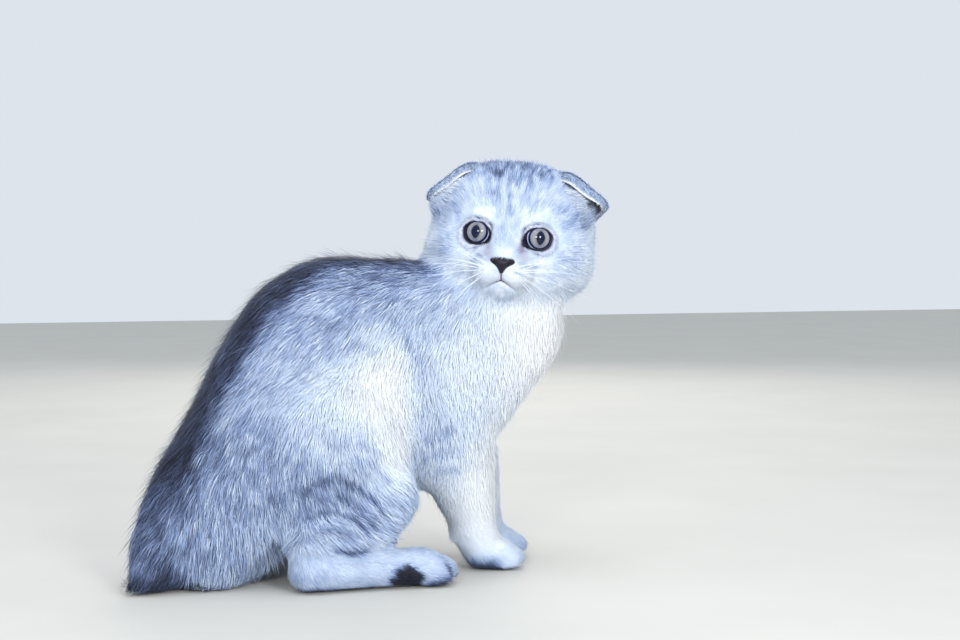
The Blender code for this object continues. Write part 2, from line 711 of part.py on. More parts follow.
def part_tail(body, nodes):
    """Tail in three lengths, cut square to its line."""
    steps = 60
    line = through(np.asarray(TAIL_LINE_MM)[:, :3] * MM, steps + 1)
    for name, share in TAIL_CUTS:
        k = int(share * steps)
        way = Vector(line[k + 1] - line[k - 1]).normalized()
        turn = way.to_track_quat("X", "Z").to_matrix().to_4x4()
        low = (0, -TAIL_CUT_REACH, -TAIL_CUT_REACH)
        high = (3 * TAIL_CUT_REACH, TAIL_CUT_REACH, TAIL_CUT_REACH)
        nodes[name] = part_off(body, name, box_maker(low, high, turn, line[k]))


def part_trunk(body, nodes):
    """Neck, chest and rump taken from the trunk; the middle stays as the torso."""
    rooms = (
        ("neck", NECK_CUT, (-REACH, -REACH, 0), (REACH, REACH, REACH)),
        ("chest", CHEST_CUT, (0, -REACH, -REACH), (REACH, REACH, REACH)),
        ("rump", RUMP_CUT, (-REACH, -REACH, -REACH), (REACH, REACH, 0)),
    )
    for name, (x, z, angle), low, high in rooms:
        lean = Matrix.Rotation(angle, 4, "Y")
        nodes[name] = part_off(body, name, box_maker(low, high, lean, (x, 0, z)))
    nodes["torso"] = body


def set_down(nodes):
    """Cut flats at floor level and centre the box of the whole on the origin."""
    floor = box_maker((-1, -1, -1), (1, 1, 0))(0.0)
    for item in nodes.values():
        if min(vert.co.z for vert in item.data.vertices) < 0:
            combine(item, floor, "DIFFERENCE")
    remove(floor)
    spots = np.array([tuple(vert.co) for item in nodes.values() for vert in item.data.vertices])
    middle = (spots.min(axis=0) + spots.max(axis=0)) / 2
    shift = Matrix.Translation((-middle[0], -middle[1], -spots[:, 2].min()))
    for item in nodes.values():
        item.data.transform(shift)


def finish(nodes):
    """Give each piece its name, material, shading and place in the kitten's collection."""
    kitten = bpy.data.collections.new("seated_kitten")
    bpy.context.scene.collection.children.link(kitten)
    looks = {name: material(name, *finish) for name, finish in FINISHES.items()}
    for name, item in nodes.items():
        item.name = name
        item.data.name = name
        item.data.materials.clear()
        item.data.materials.append(looks[NODE_FINISH.get(name, "silver_white_fur")])
        item.data.shade_smooth()
        for holder in list(item.users_collection):
            holder.objects.unlink(item)
        kitten.objects.link(item)


def build():
    """Make every piece, part them, set them on the floor and finish them."""
    clear_scene()
    nodes = {}
    outer_head = make_head(nodes)
    body = fused_body()
    cut_away(body, outer_head)
    for side, name in SIDES:
        part_legs(body, nodes, side, name)
    part_tail(body, nodes)
    part_trunk(body, nodes)
    set_down(nodes)
    finish(nodes)


build()
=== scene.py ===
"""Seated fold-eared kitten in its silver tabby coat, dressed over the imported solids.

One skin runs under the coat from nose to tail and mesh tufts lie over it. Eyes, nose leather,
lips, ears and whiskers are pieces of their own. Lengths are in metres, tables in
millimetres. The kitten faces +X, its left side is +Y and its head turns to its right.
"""
import itertools
import math

import bmesh
import bpy
import numpy as np
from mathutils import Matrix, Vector
from mathutils.bvhtree import BVHTree


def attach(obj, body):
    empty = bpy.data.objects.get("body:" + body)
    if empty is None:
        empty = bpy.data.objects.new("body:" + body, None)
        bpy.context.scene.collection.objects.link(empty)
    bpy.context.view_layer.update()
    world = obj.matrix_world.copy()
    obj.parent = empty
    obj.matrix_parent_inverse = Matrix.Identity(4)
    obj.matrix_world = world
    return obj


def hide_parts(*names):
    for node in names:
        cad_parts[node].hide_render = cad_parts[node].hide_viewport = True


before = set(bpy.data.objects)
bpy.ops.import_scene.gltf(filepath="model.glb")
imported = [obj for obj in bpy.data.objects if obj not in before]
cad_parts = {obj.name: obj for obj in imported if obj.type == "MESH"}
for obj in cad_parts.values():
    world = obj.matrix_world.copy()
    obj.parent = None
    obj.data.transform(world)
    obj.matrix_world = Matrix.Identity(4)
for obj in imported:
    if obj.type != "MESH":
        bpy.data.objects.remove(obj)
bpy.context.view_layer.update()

# The skin. Under the coat of a real kitten lies one loose hide with no seam, from the nose to
# the tail. It is made as one fused surface that takes the shape of the solids and is then
# drawn in by the depth of the coat, so that the tips of the hair end where the solids do.
MM = 0.001
SKIN_GRAIN = 1.46 * MM
OVERLAP = 0.25 * MM
EYE_FILL = 0.9 * MM
FINE_EASE, BROAD_EASE, EASE_ROUNDS = 0.16, 0.62, 26
random = np.random.default_rng(11)

# Coat of each part: depth, hair length, lift at root and tip in degrees, width, hairs a mm2
COAT = {name: row for names, row in (
    ("head", (1.3, 4.8, 32, 10, 0.31, 2.4)),
    ("neck", (2.6, 8.5, 30, 8, 0.38, 1.3)),
    ("chest", (3.0, 9.5, 24, 6, 0.38, 1.4)),
    ("torso rump", (3.4, 11.0, 28, 6, 0.41, 1.2)),
    ("left_thigh right_thigh", (2.8, 9.0, 28, 6, 0.38, 1.4)),
    ("left_foreleg right_foreleg", (1.9, 5.5, 28, 6, 0.38, 1.6)),
    ("left_forepaw right_forepaw", (1.0, 3.3, 26, 5, 0.38, 2.2)),
    ("left_hind_foot right_hind_foot", (1.1, 3.8, 26, 5, 0.38, 2.2)),
    ("tail_root", (3.4, 11.5, 28, 5, 0.42, 1.3)),
    ("tail_middle", (3.2, 11.5, 28, 5, 0.42, 1.3)),
    ("tail_tip", (2.2, 9.0, 24, 3, 0.40, 1.5)),
) for name in names.split()}
HEAD_ORIGIN = np.array((79.85, -15.0, 172.0)) * MM
HEAD_YAW = math.radians(-115.5)
HEAD_ROLL = math.radians(6.0)
NOSE_TIP = np.array((44.5, 0.0, -12.0)) * MM
EYE_CENTRE = np.array((19.5, 14.4, 2.0)) * MM
EYE_RADIUS = 8.6 * MM
EYE_CLEAR = 1.3 * EYE_RADIUS
EYE_TURN_OUT = math.radians(12.0)
EYE_OPENING = np.array((6.45, 5.25)) * MM
MOUTH_LEVEL = -20.5 * MM
MOUTH_HALF_WIDTH = 7.2 * MM
MOUTH_DROP = 4.2 * MM
MOUTH_CURVE = 1.2
# Each row: height, half width of the nose leather there and how far forward it stands
NOSE_SECTIONS = (
    (3.3, 0.0, -3.3), (3.1, 3.4, -2.2), (2.6, 5.3, -1.1), (1.8, 6.2, -0.4), (0.8, 6.2, 0.0),
    (-0.1, 5.2, 0.0), (-1.0, 3.8, -0.2), (-1.9, 2.7, -0.5), (-2.9, 1.9, -1.0), (-3.9, 1.2, -1.7),
    (-4.7, 0.7, -2.5), (-5.2, 0.0, -3.6),
)

FORWARD = np.array((math.cos(HEAD_YAW), math.sin(HEAD_YAW), 0.0))
LEVEL_LEFT = np.array((-FORWARD[1], FORWARD[0], 0.0))
UPRIGHT = np.array((0.0, 0.0, 1.0))
HEAD_LEFT = LEVEL_LEFT * math.cos(HEAD_ROLL) - UPRIGHT * math.sin(HEAD_ROLL)
HEAD_UP = UPRIGHT * math.cos(HEAD_ROLL) + LEVEL_LEFT * math.sin(HEAD_ROLL)
HEAD_AXES = np.stack([FORWARD, HEAD_LEFT, HEAD_UP])


def to_head(points):
    """Places in the head's axes: forward, left and up from the middle of the skull."""
    return (points - HEAD_ORIGIN) @ HEAD_AXES.T


def from_head(points):
    """The way back: places in the head's axes, put into the model's."""
    return np.asarray(points) @ HEAD_AXES + HEAD_ORIGIN


def unit(vectors):
    """Vectors divided by their length."""
    return vectors / np.maximum(np.linalg.norm(vectors, axis=-1, keepdims=True), 1e-12)


def laid_on(ways, outward):
    """Ways with their part along the outward normals taken off."""
    return ways - outward * (ways * outward).sum(axis=1)[:, None]


def smooth(low, high, values):
    """Smooth step: 0 below low, 1 above high, and 3t2 - 2t3 between."""
    t = np.clip((values - low) / (high - low), 0, 1)
    return t * t * (3 - 2 * t)


def bell(values):
    """Bell curve: e to the power of minus the value's square."""
    return np.exp(-values ** 2)


def noise(points, size, seed):
    """Random values from -1 to 1 on a lattice of the given size, blended between its corners."""
    spots = points / size + 50.0
    cell = np.floor(spots).astype(np.int64)
    t = spots - cell
    t = t * t * (3 - 2 * t)
    total = np.zeros(len(points))
    for corner in itertools.product((0, 1), repeat=3):
        key = (cell + corner) @ np.array((73856093, 19349663, 83492791)) + seed * 7919
        key = (key ^ (key >> 13)) * 1274126177 & 0x7FFFFFFF
        share = np.prod(np.where(corner, t, 1 - t), axis=1)
        total += share * ((key ^ (key >> 11)) % 20011 / 10005 - 1)
    return total


def mesh_object(name, places, faces):
    """An object from an array of places and one or more arrays of faces."""
    mesh = bpy.data.meshes.new(name)
    faces = faces if isinstance(faces, (list, tuple)) else [faces]
    corners = np.concatenate([part.ravel() for part in faces]).astype(np.int32)
    sizes = np.concatenate([np.full(len(part), part.shape[1]) for part in faces])
    starts = np.concatenate([[0], np.cumsum(sizes)[:-1]]).astype(np.int32)
    mesh.vertices.add(len(places))
    mesh.vertices.foreach_set("co", np.asarray(places, np.float32).ravel())
    mesh.loops.add(len(corners))
    mesh.loops.foreach_set("vertex_index", corners)
    mesh.polygons.add(len(sizes))
    mesh.polygons.foreach_set("loop_start", starts)
    mesh.update(calc_edges=True)
    mesh.validate()
    mesh.shade_smooth()
    made = bpy.data.objects.new(name, mesh)
    bpy.context.scene.collection.objects.link(made)
    return made


def array_of(items, name, width, kind=np.float32):
    """A property of many items as an array, with so many numbers for each item."""
    found = np.empty(len(items) * width, kind)
    items.foreach_get(name, found)
    return found.reshape(-1, width)


def places_of(mesh):
    """The places of a mesh's vertices as an array."""
    return array_of(mesh.vertices, "co", 3).astype(float)


def triangles_of(mesh):
    """A mesh's triangles as an array of vertex numbers."""
    mesh.calc_loop_triangles()
    return array_of(mesh.loop_triangles, "vertices", 3, np.int32)


def vertex_normals(places, triangles):
    """Each vertex's normal: the sum of its faces' normals, each as long as its area."""
    a, b, c = (places[triangles[:, k]] for k in range(3))
    face = np.cross(b - a, c - a)
    total = np.zeros_like(places)
    for k in range(3):
        for axis in range(3):
            total[:, axis] += np.bincount(triangles[:, k], face[:, axis], len(places))
    return unit(total)


class Neighbours:
    """Who is joined to whom by an edge, for averages over a surface."""

    def __init__(self, triangles, count):
        pairs = np.concatenate([triangles[:, (0, 1)], triangles[:, (1, 2)], triangles[:, (2, 0)]])
        pairs = np.unique(np.concatenate([pairs, pairs[:, ::-1]]), axis=0)
        self.source, self.other = pairs.T
        self.starts = np.searchsorted(self.source, np.arange(count))
        self.degree = np.bincount(self.source, minlength=count)

    def mean(self, values):
        """The mean of each vertex's neighbours."""
        total = np.add.reduceat(values[self.other], self.starts, axis=0)
        return total / (self.degree[:, None] if values.ndim > 1 else self.degree)

    def eased(self, values, rounds, pull=0.5):
        """Each value moves by a share towards its neighbours' mean, for so many rounds."""
        for _ in range(rounds):
            values = values + (self.mean(values) - values) * pull
        return values


def fused_solids():
    """The solids but for the ears, each grown to overlap the next, fused and thinned to one shell."""
    grown = bmesh.new()
    for name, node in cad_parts.items():
        if name.endswith("_ear"):
            continue
        piece = bmesh.new()
        piece.from_mesh(node.data)
        bmesh.ops.remove_doubles(piece, verts=piece.verts, dist=1e-6)
        reach = EYE_FILL if name.endswith("_eye") else OVERLAP
        piece.normal_update()
        ways = np.array([vert.normal for vert in piece.verts], np.float32)
        scrap = bpy.data.meshes.new("scrap")
        piece.to_mesh(scrap)
        spots = array_of(scrap.vertices, "co", 3) + ways * np.float32(reach)
        scrap.vertices.foreach_set("co", spots.ravel())
        grown.from_mesh(scrap)
        piece.free()
        bpy.data.meshes.remove(scrap)
    mesh = bpy.data.meshes.new("fused")
    grown.to_mesh(mesh)
    grown.free()
    item = bpy.data.objects.new("fused", mesh)
    bpy.context.scene.collection.objects.link(item)
    remesh = item.modifiers.new("Fuse", "REMESH")
    remesh.mode = "VOXEL"
    remesh.voxel_size = SKIN_GRAIN
    bpy.context.view_layer.update()
    done = item.evaluated_get(bpy.context.evaluated_depsgraph_get()).to_mesh()
    places, triangles = places_of(done), triangles_of(done)
    bpy.data.objects.remove(item)
    near = Neighbours(triangles, len(places))
    label = np.arange(len(places))
    while True:
        least = np.minimum(label, np.minimum.reduceat(label[near.other], near.starts))
        least = least[least]
        if (least == label).all():
            break
        label = least
    keep = label == np.bincount(label).argmax()
    number = np.cumsum(keep) - 1
    return places[keep], number[triangles[keep[triangles].all(axis=1)]]


def nearest_node(points):
    """For each place, the number of the flesh node whose surface is nearest."""
    verts, faces, owner = [], [], []
    for index, name in enumerate(COAT):
        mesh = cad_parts[name].data
        base = len(verts)
        verts.extend(vert.co.copy() for vert in mesh.vertices)
        for face in mesh.polygons:
            faces.append([base + corner for corner in face.vertices])
            owner.append(index)
    tree = BVHTree.FromPolygons(verts, faces)
    return np.array([owner[tree.find_nearest(point)[2]] for point in points])


def eye_axes(side):
    """Across, up and line of sight of an eye, in the head's axes."""
    sight = np.array((math.cos(EYE_TURN_OUT), math.sin(EYE_TURN_OUT) * side, 0.0))
    up = np.array((0.0, 0.0, 1.0))
    return np.stack([np.cross(up, sight), up, sight])


def eye_angles(local, side):
    """How far a place lies off an eye's line of sight, and its clock angle round it."""
    centre = EYE_CENTRE * (1, side, 1)
    spots = (local - centre) @ eye_axes(side).T
    away = np.arctan2(np.hypot(spots[:, 0], spots[:, 1]), spots[:, 2])
    return away, np.arctan2(spots[:, 1], spots[:, 0]), np.linalg.norm(spots, axis=1)


def lid_opening(clock, side):
    """Angle off the line of sight of the lids' edge: an ellipse drawn out at both corners."""
    wide, high = EYE_OPENING
    reach = wide * high / np.hypot(high * np.cos(clock), wide * np.sin(clock))
    inner_clock = (math.pi + 0.50) if side > 0 else -0.50
    outer_clock = 0.34 if side > 0 else math.pi - 0.34
    for corner, gain, spread in ((inner_clock, 0.12, 0.34), (outer_clock, 0.05, 0.30)):
        off = (clock - corner + math.pi) % math.tau - math.pi
        reach = reach * (1 + gain * bell(off / spread))
    return np.arcsin(np.clip(reach / EYE_RADIUS, 0, 0.985))


def eye_gap(local, side):
    """Step along the ball from the lids' edge to a place, below zero inside the opening. A place
    well clear of the ball counts as outside by its distance from it, but one that stands before
    the eye counts by its distance from the opening's outline, seen from ahead."""
    away, clock, far = eye_angles(local, side)
    gap = np.maximum((away - lid_opening(clock, side)) * EYE_RADIUS, far - EYE_CLEAR)
    left = local[:, 1] - side * (EYE_CENTRE[1] + 1.25 * MM)
    up, ahead = local[:, 2] - EYE_CENTRE[2], local[:, 0] - EYE_CENTRE[0]
    outline = EYE_RADIUS * np.sin(lid_opening(np.arctan2(up, left), side))
    before = (ahead > 4 * MM) & (ahead < 17 * MM)
    return np.where(before, np.minimum(gap, np.hypot(left, up) - outline), gap)


def leather_gap(local):
    """Distance, seen from in front, from a place to the outline of the nose leather: its
    distance from the midline less the half width at its height, below zero on the leather."""
    height = (local[:, 2] - NOSE_TIP[2]) / MM
    rows = np.array(NOSE_SECTIONS)[::-1]
    half = np.interp(height, rows[:, 0], rows[:, 1])
    beyond = np.maximum(height - rows[-1, 0], 0) + np.maximum(rows[0, 0] - height, 0)
    return (np.abs(local[:, 1]) / MM - half + beyond) * MM


def mouth_distance(local):
    """Distance, seen from in front, to the line of the lips and to the cleft under the nose."""
    left, up = local[:, 1], local[:, 2]
    t = np.clip(np.abs(left) / MOUTH_HALF_WIDTH, 0, 1)
    level = MOUTH_LEVEL - MOUTH_DROP * t ** MOUTH_CURVE
    beyond = np.maximum(np.abs(left) - MOUTH_HALF_WIDTH, 0)
    slope = MOUTH_CURVE * MOUTH_DROP / MOUTH_HALF_WIDTH * t ** (MOUTH_CURVE - 1)
    lips = np.hypot((up - level) / np.sqrt(1 + slope ** 2), beyond)
    cleft = np.hypot(left, np.maximum(MOUTH_LEVEL - up, 0) + np.maximum(up + 15 * MM, 0))
    return lips, cleft


def finer_face(places, triangles):
    """The same surface with small faces round the eyes, nose and mouth, where the detail is."""
    item = mesh_object("scrap", places, triangles)
    bm = bmesh.new()
    bm.from_mesh(item.data)
    bpy.data.objects.remove(item)
    for reach_eye, reach_mouth in ((13 * MM, 15 * MM), (11.6 * MM, 12.5 * MM)):
        spots = to_head(np.array([vert.co for vert in bm.verts]))
        close = np.zeros(len(spots), bool)
        for side in (1, -1):
            close |= (np.linalg.norm(spots - EYE_CENTRE * (1, side, 1), axis=1) < reach_eye)
        close |= np.linalg.norm(spots - (36 * MM, 0, -17 * MM), axis=1) < reach_mouth
        close &= spots[:, 0] > 10 * MM
        edges = [edge for edge in bm.edges if all(close[vert.index] for vert in edge.verts)]
        bmesh.ops.subdivide_edges(bm, edges=edges, cuts=1, use_grid_fill=True)
        bmesh.ops.triangulate(bm, faces=[face for face in bm.faces if len(face.verts) > 3])
        bm.verts.index_update()
    mesh = bpy.data.meshes.new("scrap")
    bm.to_mesh(mesh)
    bm.free()
    return places_of(mesh), triangles_of(mesh)


places, triangles = fused_solids()
near = Neighbours(triangles, len(places))
part = nearest_node(places)
names = list(COAT)
fine_parts = [names.index(name) for name in names
              if name == "head" or name.endswith("paw") or name.endswith("_foot")]
ease = near.eased(np.where(np.isin(part, fine_parts), FINE_EASE, BROAD_EASE), 10)
for _ in range(EASE_ROUNDS):
    places = places + (near.mean(places) - places) * ease[:, None]
places, triangles = finer_face(places, triangles)
near = Neighbours(triangles, len(places))
part = nearest_node(places)
normals = vertex_normals(places, triangles)
coat = near.eased(np.array(list(COAT.values()))[part], 22)
head_share = near.eased((part == names.index("head")).astype(float), 14)
local = to_head(places)
muzzle = np.linalg.norm(local - (40 * MM, 0, -12 * MM), axis=1)
depth = coat[:, 0] * MM
depth = depth * (1 - 0.5 * head_share * (1 - smooth(10 * MM, 30 * MM, muzzle)))
places = places - normals * depth[:, None]
places = near.eased(places, 2, 0.3)
local = to_head(places)

lips, cleft = mouth_distance(local)
front = (local[:, 0] > 22 * MM) & (local[:, 2] > -30 * MM)
groove = 0.7 * MM * bell(lips / (0.7 * MM)) + 0.5 * MM * bell(cleft / (0.6 * MM))
swell = 0.3 * MM * bell((lips - 2.0 * MM) / (1.1 * MM))
local[:, 0] += np.where(front, swell - groove, 0)
local[:, 0] -= 2.4 * MM * smooth(0.2 * MM, -0.8 * MM, leather_gap(local)) * (local[:, 0] > 30 * MM)
for side in (1, -1):
    away, clock, far = eye_angles(local, side)
    inside = smooth(1.15 * MM, 0.6 * MM, eye_gap(local, side)) * (far < 20 * MM)
    centre = EYE_CENTRE * (1, side, 1)
    sunk = centre + unit(local - centre) * (EYE_RADIUS - 2.2 * MM)
    back = local * (0, 1, 1) + (EYE_CENTRE[0] + 3 * MM, 0, 0)
    sunk = np.where((far > EYE_CLEAR)[:, None], back, sunk)
    local = local + (sunk - local) * inside[:, None]
places = from_head(local)
normals = vertex_normals(places, triangles)
skin = mesh_object("skin", places, triangles)

# Markings. A silver tabby's hairs are white at the root and slate at the tip, and the share of
# slate makes the pattern: dark along the spine and tail, clear on the chest, belly and muzzle,
# with thin bars on the legs and fine streaks on the brow. One rule gives skin and hair a tone.
# One soft patch, in the fold behind the shoulder and foreleg, is painted shade.
COAT_SHADES = ("#fbfdff", "#c8d7ec", "#8a9ec4", "#505e82", "#252b40", "#14161f")
STAIN = "#766a8c"

# Soft patches: middle x, distance from the midline, z; their three radii; tone and strength
PATCHES = (
    (-10, 0, 158, 75, 36, 22, 0.54, 0.9),
    (-48, 34, 120, 30, 24, 28, 0.36, 0.7),
    (-80, 38, 62, 30, 28, 30, 0.44, 0.85),
    (-94, 30, 22, 30, 30, 24, 0.46, 0.9),
    (-44, 50, 86, 18, 22, 18, 0.27, 0.8),
    (-24, 52, 90, 24, 26, 20, 0.16, 0.9),
    (4, 50, 96, 26, 32, 30, 0.03, 1.0),
    (-24, 56, 66, 20, 18, 12, 0.20, 0.7),
    (-42, 50, 42, 24, 24, 12, 0.48, 0.8),
    (8, 50, 66, 16, 22, 22, 0.06, 0.95),
    (-10, 55, 32, 24, 22, 8, 0.28, 0.7),
    # Painted shade: the fold behind the shoulder, down towards the elbow
    (25, 37, 112, 10, 14, 36, 0.30, 0.85),
    (26, 32, 60, 8, 14, 12, 0.26, 0.6),
    (96, 20, 118, 50, 60, 50, 0.0, 1.0),
    (64, 22, 44, 32, 34, 46, 0.02, 1.0),
    (44, 40, 104, 16, 18, 24, 0.10, 0.8),
    (27, 13, 161, 12, 15, 9, 0.74, 0.95),
    (40, 27, 153, 7, 7, 6, 0.14, 0.8),
    (-12, 56, 10, 50, 22, 15, 0.25, 1.0),
    (-40, 60, 4, 13, 14, 8, 0.36, 0.8),
)
# Thin bars of the hind leg and elbow, each a line of x, z seen from the side, and its tone
BARS = (
    (((-48, 39), (-39, 49), (-27, 54), (-15, 49), (-5, 40), (3, 31)), 0.72),
    (((-46, 28), (-37, 33), (-26, 36), (-15, 32), (-6, 25)), 0.74),
    (((-44, 34), (-34, 42), (-22, 44), (-10, 37), (-1, 29)), 0.62),
    (((-19, 41), (-12, 35), (-4, 27)), 0.62),
    (((-31, 21), (-19, 18), (-8, 20)), 0.66),
    (((-36, 26), (-26, 28), (-16, 25)), 0.56),
    (((-20, 62), (-6, 58), (6, 46)), 0.44),
    (((-32, 70), (-14, 69), (0, 62)), 0.34),
    (((22, 66), (33, 71), (43, 74)), 0.50),
    (((22, 57), (34, 61), (47, 63)), 0.44),
    (((24, 50), (36, 53), (46, 53)), 0.36),
    (((-52, 128), (-34, 131), (-18, 124)), 0.60),
    (((-30, 112), (-14, 118), (2, 110)), 0.42),
    (((-8, 136), (8, 128), (18, 112)), 0.46),
)
BAR_WIDTH = 1.45 * MM
# Stain down from the inner corner of an eye: distance from the midline and height
TEAR_LINE = ((9.2, -0.5), (8.5, -3.2), (9.4, -6.0), (10.8, -9.0))


def linear(colours):
    """sRGB hex colours, such as "#8090a0", as linear numbers."""
    codes = [colours] if isinstance(colours, str) else colours
    values = np.array([[int(code[k:k + 2], 16) / 255 for k in (1, 3, 5)] for code in codes])
    values = np.where(values <= 0.04045, values / 12.92, ((values + 0.055) / 1.055) ** 2.4)
    return values[0] if isinstance(colours, str) else values


def tinted(colours, shade, share):
    """Colours drawn towards one shade, each by its own share."""
    return colours + (linear(shade) - colours) * share[:, None]


def coat_colour(tone):
    """Colour of the coat at a tone from 0, white, to 1, black: straight steps between shades."""
    shades = linear(COAT_SHADES)
    spot = np.clip(tone, 0, 1) * (len(shades) - 1)
    low = np.minimum(spot.astype(int), len(shades) - 2)
    return shades[low] + (shades[low + 1] - shades[low]) * (spot - low)[:, None]


def line_distance(points, line):
    """Distance from places in a plane to a line through a few points, and the share along it."""
    line = np.asarray(line, float)
    best, along = np.full(len(points), 1e9), np.zeros(len(points))
    for k, (start, end) in enumerate(zip(line, line[1:])):
        way = end - start
        t = np.clip(((points - start) @ way) / (way @ way), 0, 1)
        gap = np.linalg.norm(points - start - t[:, None] * way, axis=1)
        along = np.where(gap < best, (k + t) / (len(line) - 1), along)
        best = np.minimum(best, gap)
    return best, along


def body_tone(points, outward):
    """Tone of trunk, legs and tail: soft patches, the dark spine and then the thin bars."""
    x, y, z = (points / MM).T
    tone = np.full(len(points), 0.34)
    for px, py, pz, rx, ry, rz, value, strength in PATCHES:
        off = ((x - px) / rx) ** 2 + ((np.abs(y) - py) / ry) ** 2 + ((z - pz) / rz) ** 2
        tone += (value - tone) * strength * np.exp(-0.9 * off ** 1.5)
    half = np.interp(x, (-110, -60, -20, 30, 60), (24, 24, 17, 12, 8))
    ridge = np.interp(z, (0, 40, 80, 160), (-24, -8, -2, -1))
    spine = 1 - smooth(half * 0.55, half * 1.25, np.abs(y - ridge) + 2.5 * noise(points, 9 * MM, 3))
    upper = smooth(-0.35, 0.25, outward[:, 2] - 0.8 * outward[:, 0])
    spine = spine * upper * smooth(26, 44, z) * (1 - smooth(30, 62, x))
    tone += (0.84 - tone) * spine * 0.9
    tail = (1 - smooth(-112, -98, x)) * smooth(-2, 10, -y) * (1 - smooth(30, 52, z))
    tone += (0.70 - tone) * tail * 0.7
    tip = (1 - smooth(4, 13, z)) * (1 - smooth(-104, -92, x))
    tone += (0.82 - tone) * tip * 0.85
    side_view = np.stack([x, z], axis=1)
    wobble = 0.4 * noise(points, 7 * MM, 5)
    for line, value in BARS:
        gap, along = line_distance(side_view, line)
        fade = smooth(0, 0.2, along) * (1 - smooth(0.8, 1, along)) * smooth(22, 32, np.abs(y))
        bar = bell((gap + wobble) * MM / BAR_WIDTH) * fade
        tone += np.maximum(value - 0.05 - tone, 0) * bar
    tone += 0.05 * noise(points, 14 * MM, 8) * smooth(0.1, 0.4, tone)
    ragged = 1.6 * noise(points, 2.4 * MM, 9)
    sole = np.hypot((x - 9) / 8.5, (z - 3) / 8.5) + 0.12 * ragged
    sole = smooth(1.15, 0.75, sole) * smooth(46, 54, np.abs(y))
    toes = np.exp(-(((x - 28) / 8) ** 4 + ((z - 1.0) / 3.6) ** 2)) * smooth(28, 34, np.abs(y))
    split = np.hypot((x - 30 + 0.4 * (z - 8.5)) / 0.9, (z - 8) / 4) ** 2
    toes = np.maximum(toes, 0.85 * np.exp(-split) * smooth(50, 56, np.abs(y)))
    carpal = np.exp(-(((x - 40) / 1.8) ** 4 + ((z - 25.5) / 1.9) ** 4)) * (outward[:, 0] < 0.3)
    tone += (0.95 - tone) * carpal
    under = bell((z - 0.5) / 1.3) * (1 - smooth(-0.7, -0.2, outward[:, 2]))
    palm = np.exp(-(((x - 60) / 9) ** 4 + ((z - 1) / 4.5) ** 2)) * (outward[:, 0] < 0.4)
    for dark, value in ((sole, 0.95), (toes, 0.85), (under * (x > -60), 0.8), (palm, 0.75)):
        tone += (value - tone) * np.clip(dark, 0, 1)
    return np.clip(tone, 0, 1)


def head_tone(spots):
    """Tone of the head: silver face, slate crown that breaks into streaks on the brow, paler over
    the eyes, on the muzzle and on the cheeks."""
    forward, left, up = (spots / MM).T
    wide = np.abs(left)
    fan = left * (1 - 0.010 * np.clip(up - 8, 0, 30))
    stretched = np.stack([fan, up * 0.20, forward * 0.20], axis=1) * MM
    streak = 0.55 * noise(stretched, 1.1 * MM, 21) + 0.6 * noise(stretched, 2.3 * MM, 22)
    front = smooth(-8, 10, forward)
    tone = 0.14 + 0.025 * noise(spots, 5 * MM, 24) + 0.02 * noise(spots, 2.2 * MM, 25)
    brow = smooth(6, 24, up) * (1 - smooth(12, 25, wide)) * front
    tone += brow * (0.05 + 0.16 * np.clip(streak + 0.15, 0, 1))
    side = smooth(2, 14, up) * smooth(14, 26, wide) * front
    tone += side * (0.02 + 0.07 * np.clip(streak + 0.2, 0, 1))
    crown = smooth(27, 41, up) * (1 - smooth(26, 40, wide))
    tone += crown * (0.22 + 0.13 * np.clip(streak + 0.3, 0, 1))
    tone += (1 - smooth(-26, -4, forward)) * smooth(-20, 10, up) * 0.25
    middle = bell((left + 0.8 + 0.05 * (up - 20)) / 1.5) * smooth(7, 16, up)
    flank = bell((wide - 6.0 - 0.20 * (up - 20)) / 1.5) * smooth(12, 24, up)
    tone += (0.13 * middle + 0.12 * flank) * front * (0.6 + 0.5 * np.clip(streak + 0.5, 0, 1))
    for mid_l, mid_u, size_l, size_u, change in ((12, 14, 6, 4.5, -0.05), (12, -18, 12, 8, -0.08),
                                                 (0, 2, 6, 10, 0.08), (33, 21, 8, 11, 0.16),
                                                 (30, 2, 6, 13, 0.05), (34, -5, 6, 8, 0.09)):
        tone += change * np.exp(-(((wide - mid_l) / size_l) ** 2 + ((up - mid_u) / size_u) ** 2)) * front
    tone += 0.15 * smooth(4, -12, forward) * smooth(34, 44, wide + 0.4 * up)
    for root_l, root_u, end_l, end_u in ((9, -14, 17, -12.5), (7.2, -16, 22, -20), (9, -11.5, 15, -8.5)):
        row, _ = line_distance(np.stack([wide, up], 1), ((root_l, root_u), (end_l, end_u)))
        tone += 0.22 * bell(row / 0.7) * np.clip(0.5 + noise(spots, 2.0 * MM, 26), 0, 1)
    return np.clip(tone, 0, 1)


def stain_share(spots):
    """Shares of the mauve stains, down from each eye's inner corner and faintly round its lids,
    of those round the lips, and of the dark skin at the inner corner."""
    forward, left, up = (spots / MM).T
    gap, along = line_distance(np.stack([np.abs(left), up], 1), TEAR_LINE)
    tear = bell(gap / (1.5 + 1.2 * along + 0.3 * np.sign(left))) * (forward > 20) * (1 - 0.7 * along)
    tear = tear * (0.85 + 0.15 * np.sign(left)) * (1 + 0.35 * noise(spots, 1.6 * MM, 27))
    rim = np.zeros(len(spots))
    for side in (1, -1):
        gap = eye_gap(spots, side)
        tear = np.maximum(tear, 0.30 * smooth(2.6 * MM, 0.8 * MM, gap))
        corner = (up - EYE_CENTRE[2] / MM + 2.6) ** 2 + (left * side - EYE_CENTRE[1] / MM + 5.2) ** 2
        rim = np.maximum(rim, smooth(1.7 * MM, 1.1 * MM, gap) * smooth(26, 10, corner) * (forward > 18))
    lips, cleft = mouth_distance(spots)
    mouth = bell(np.minimum(lips + 0.05 * np.abs(spots[:, 1]), cleft) / (1.1 * MM)) * (forward > 24)
    return np.clip(tear, 0, 1), 0.42 * mouth, rim


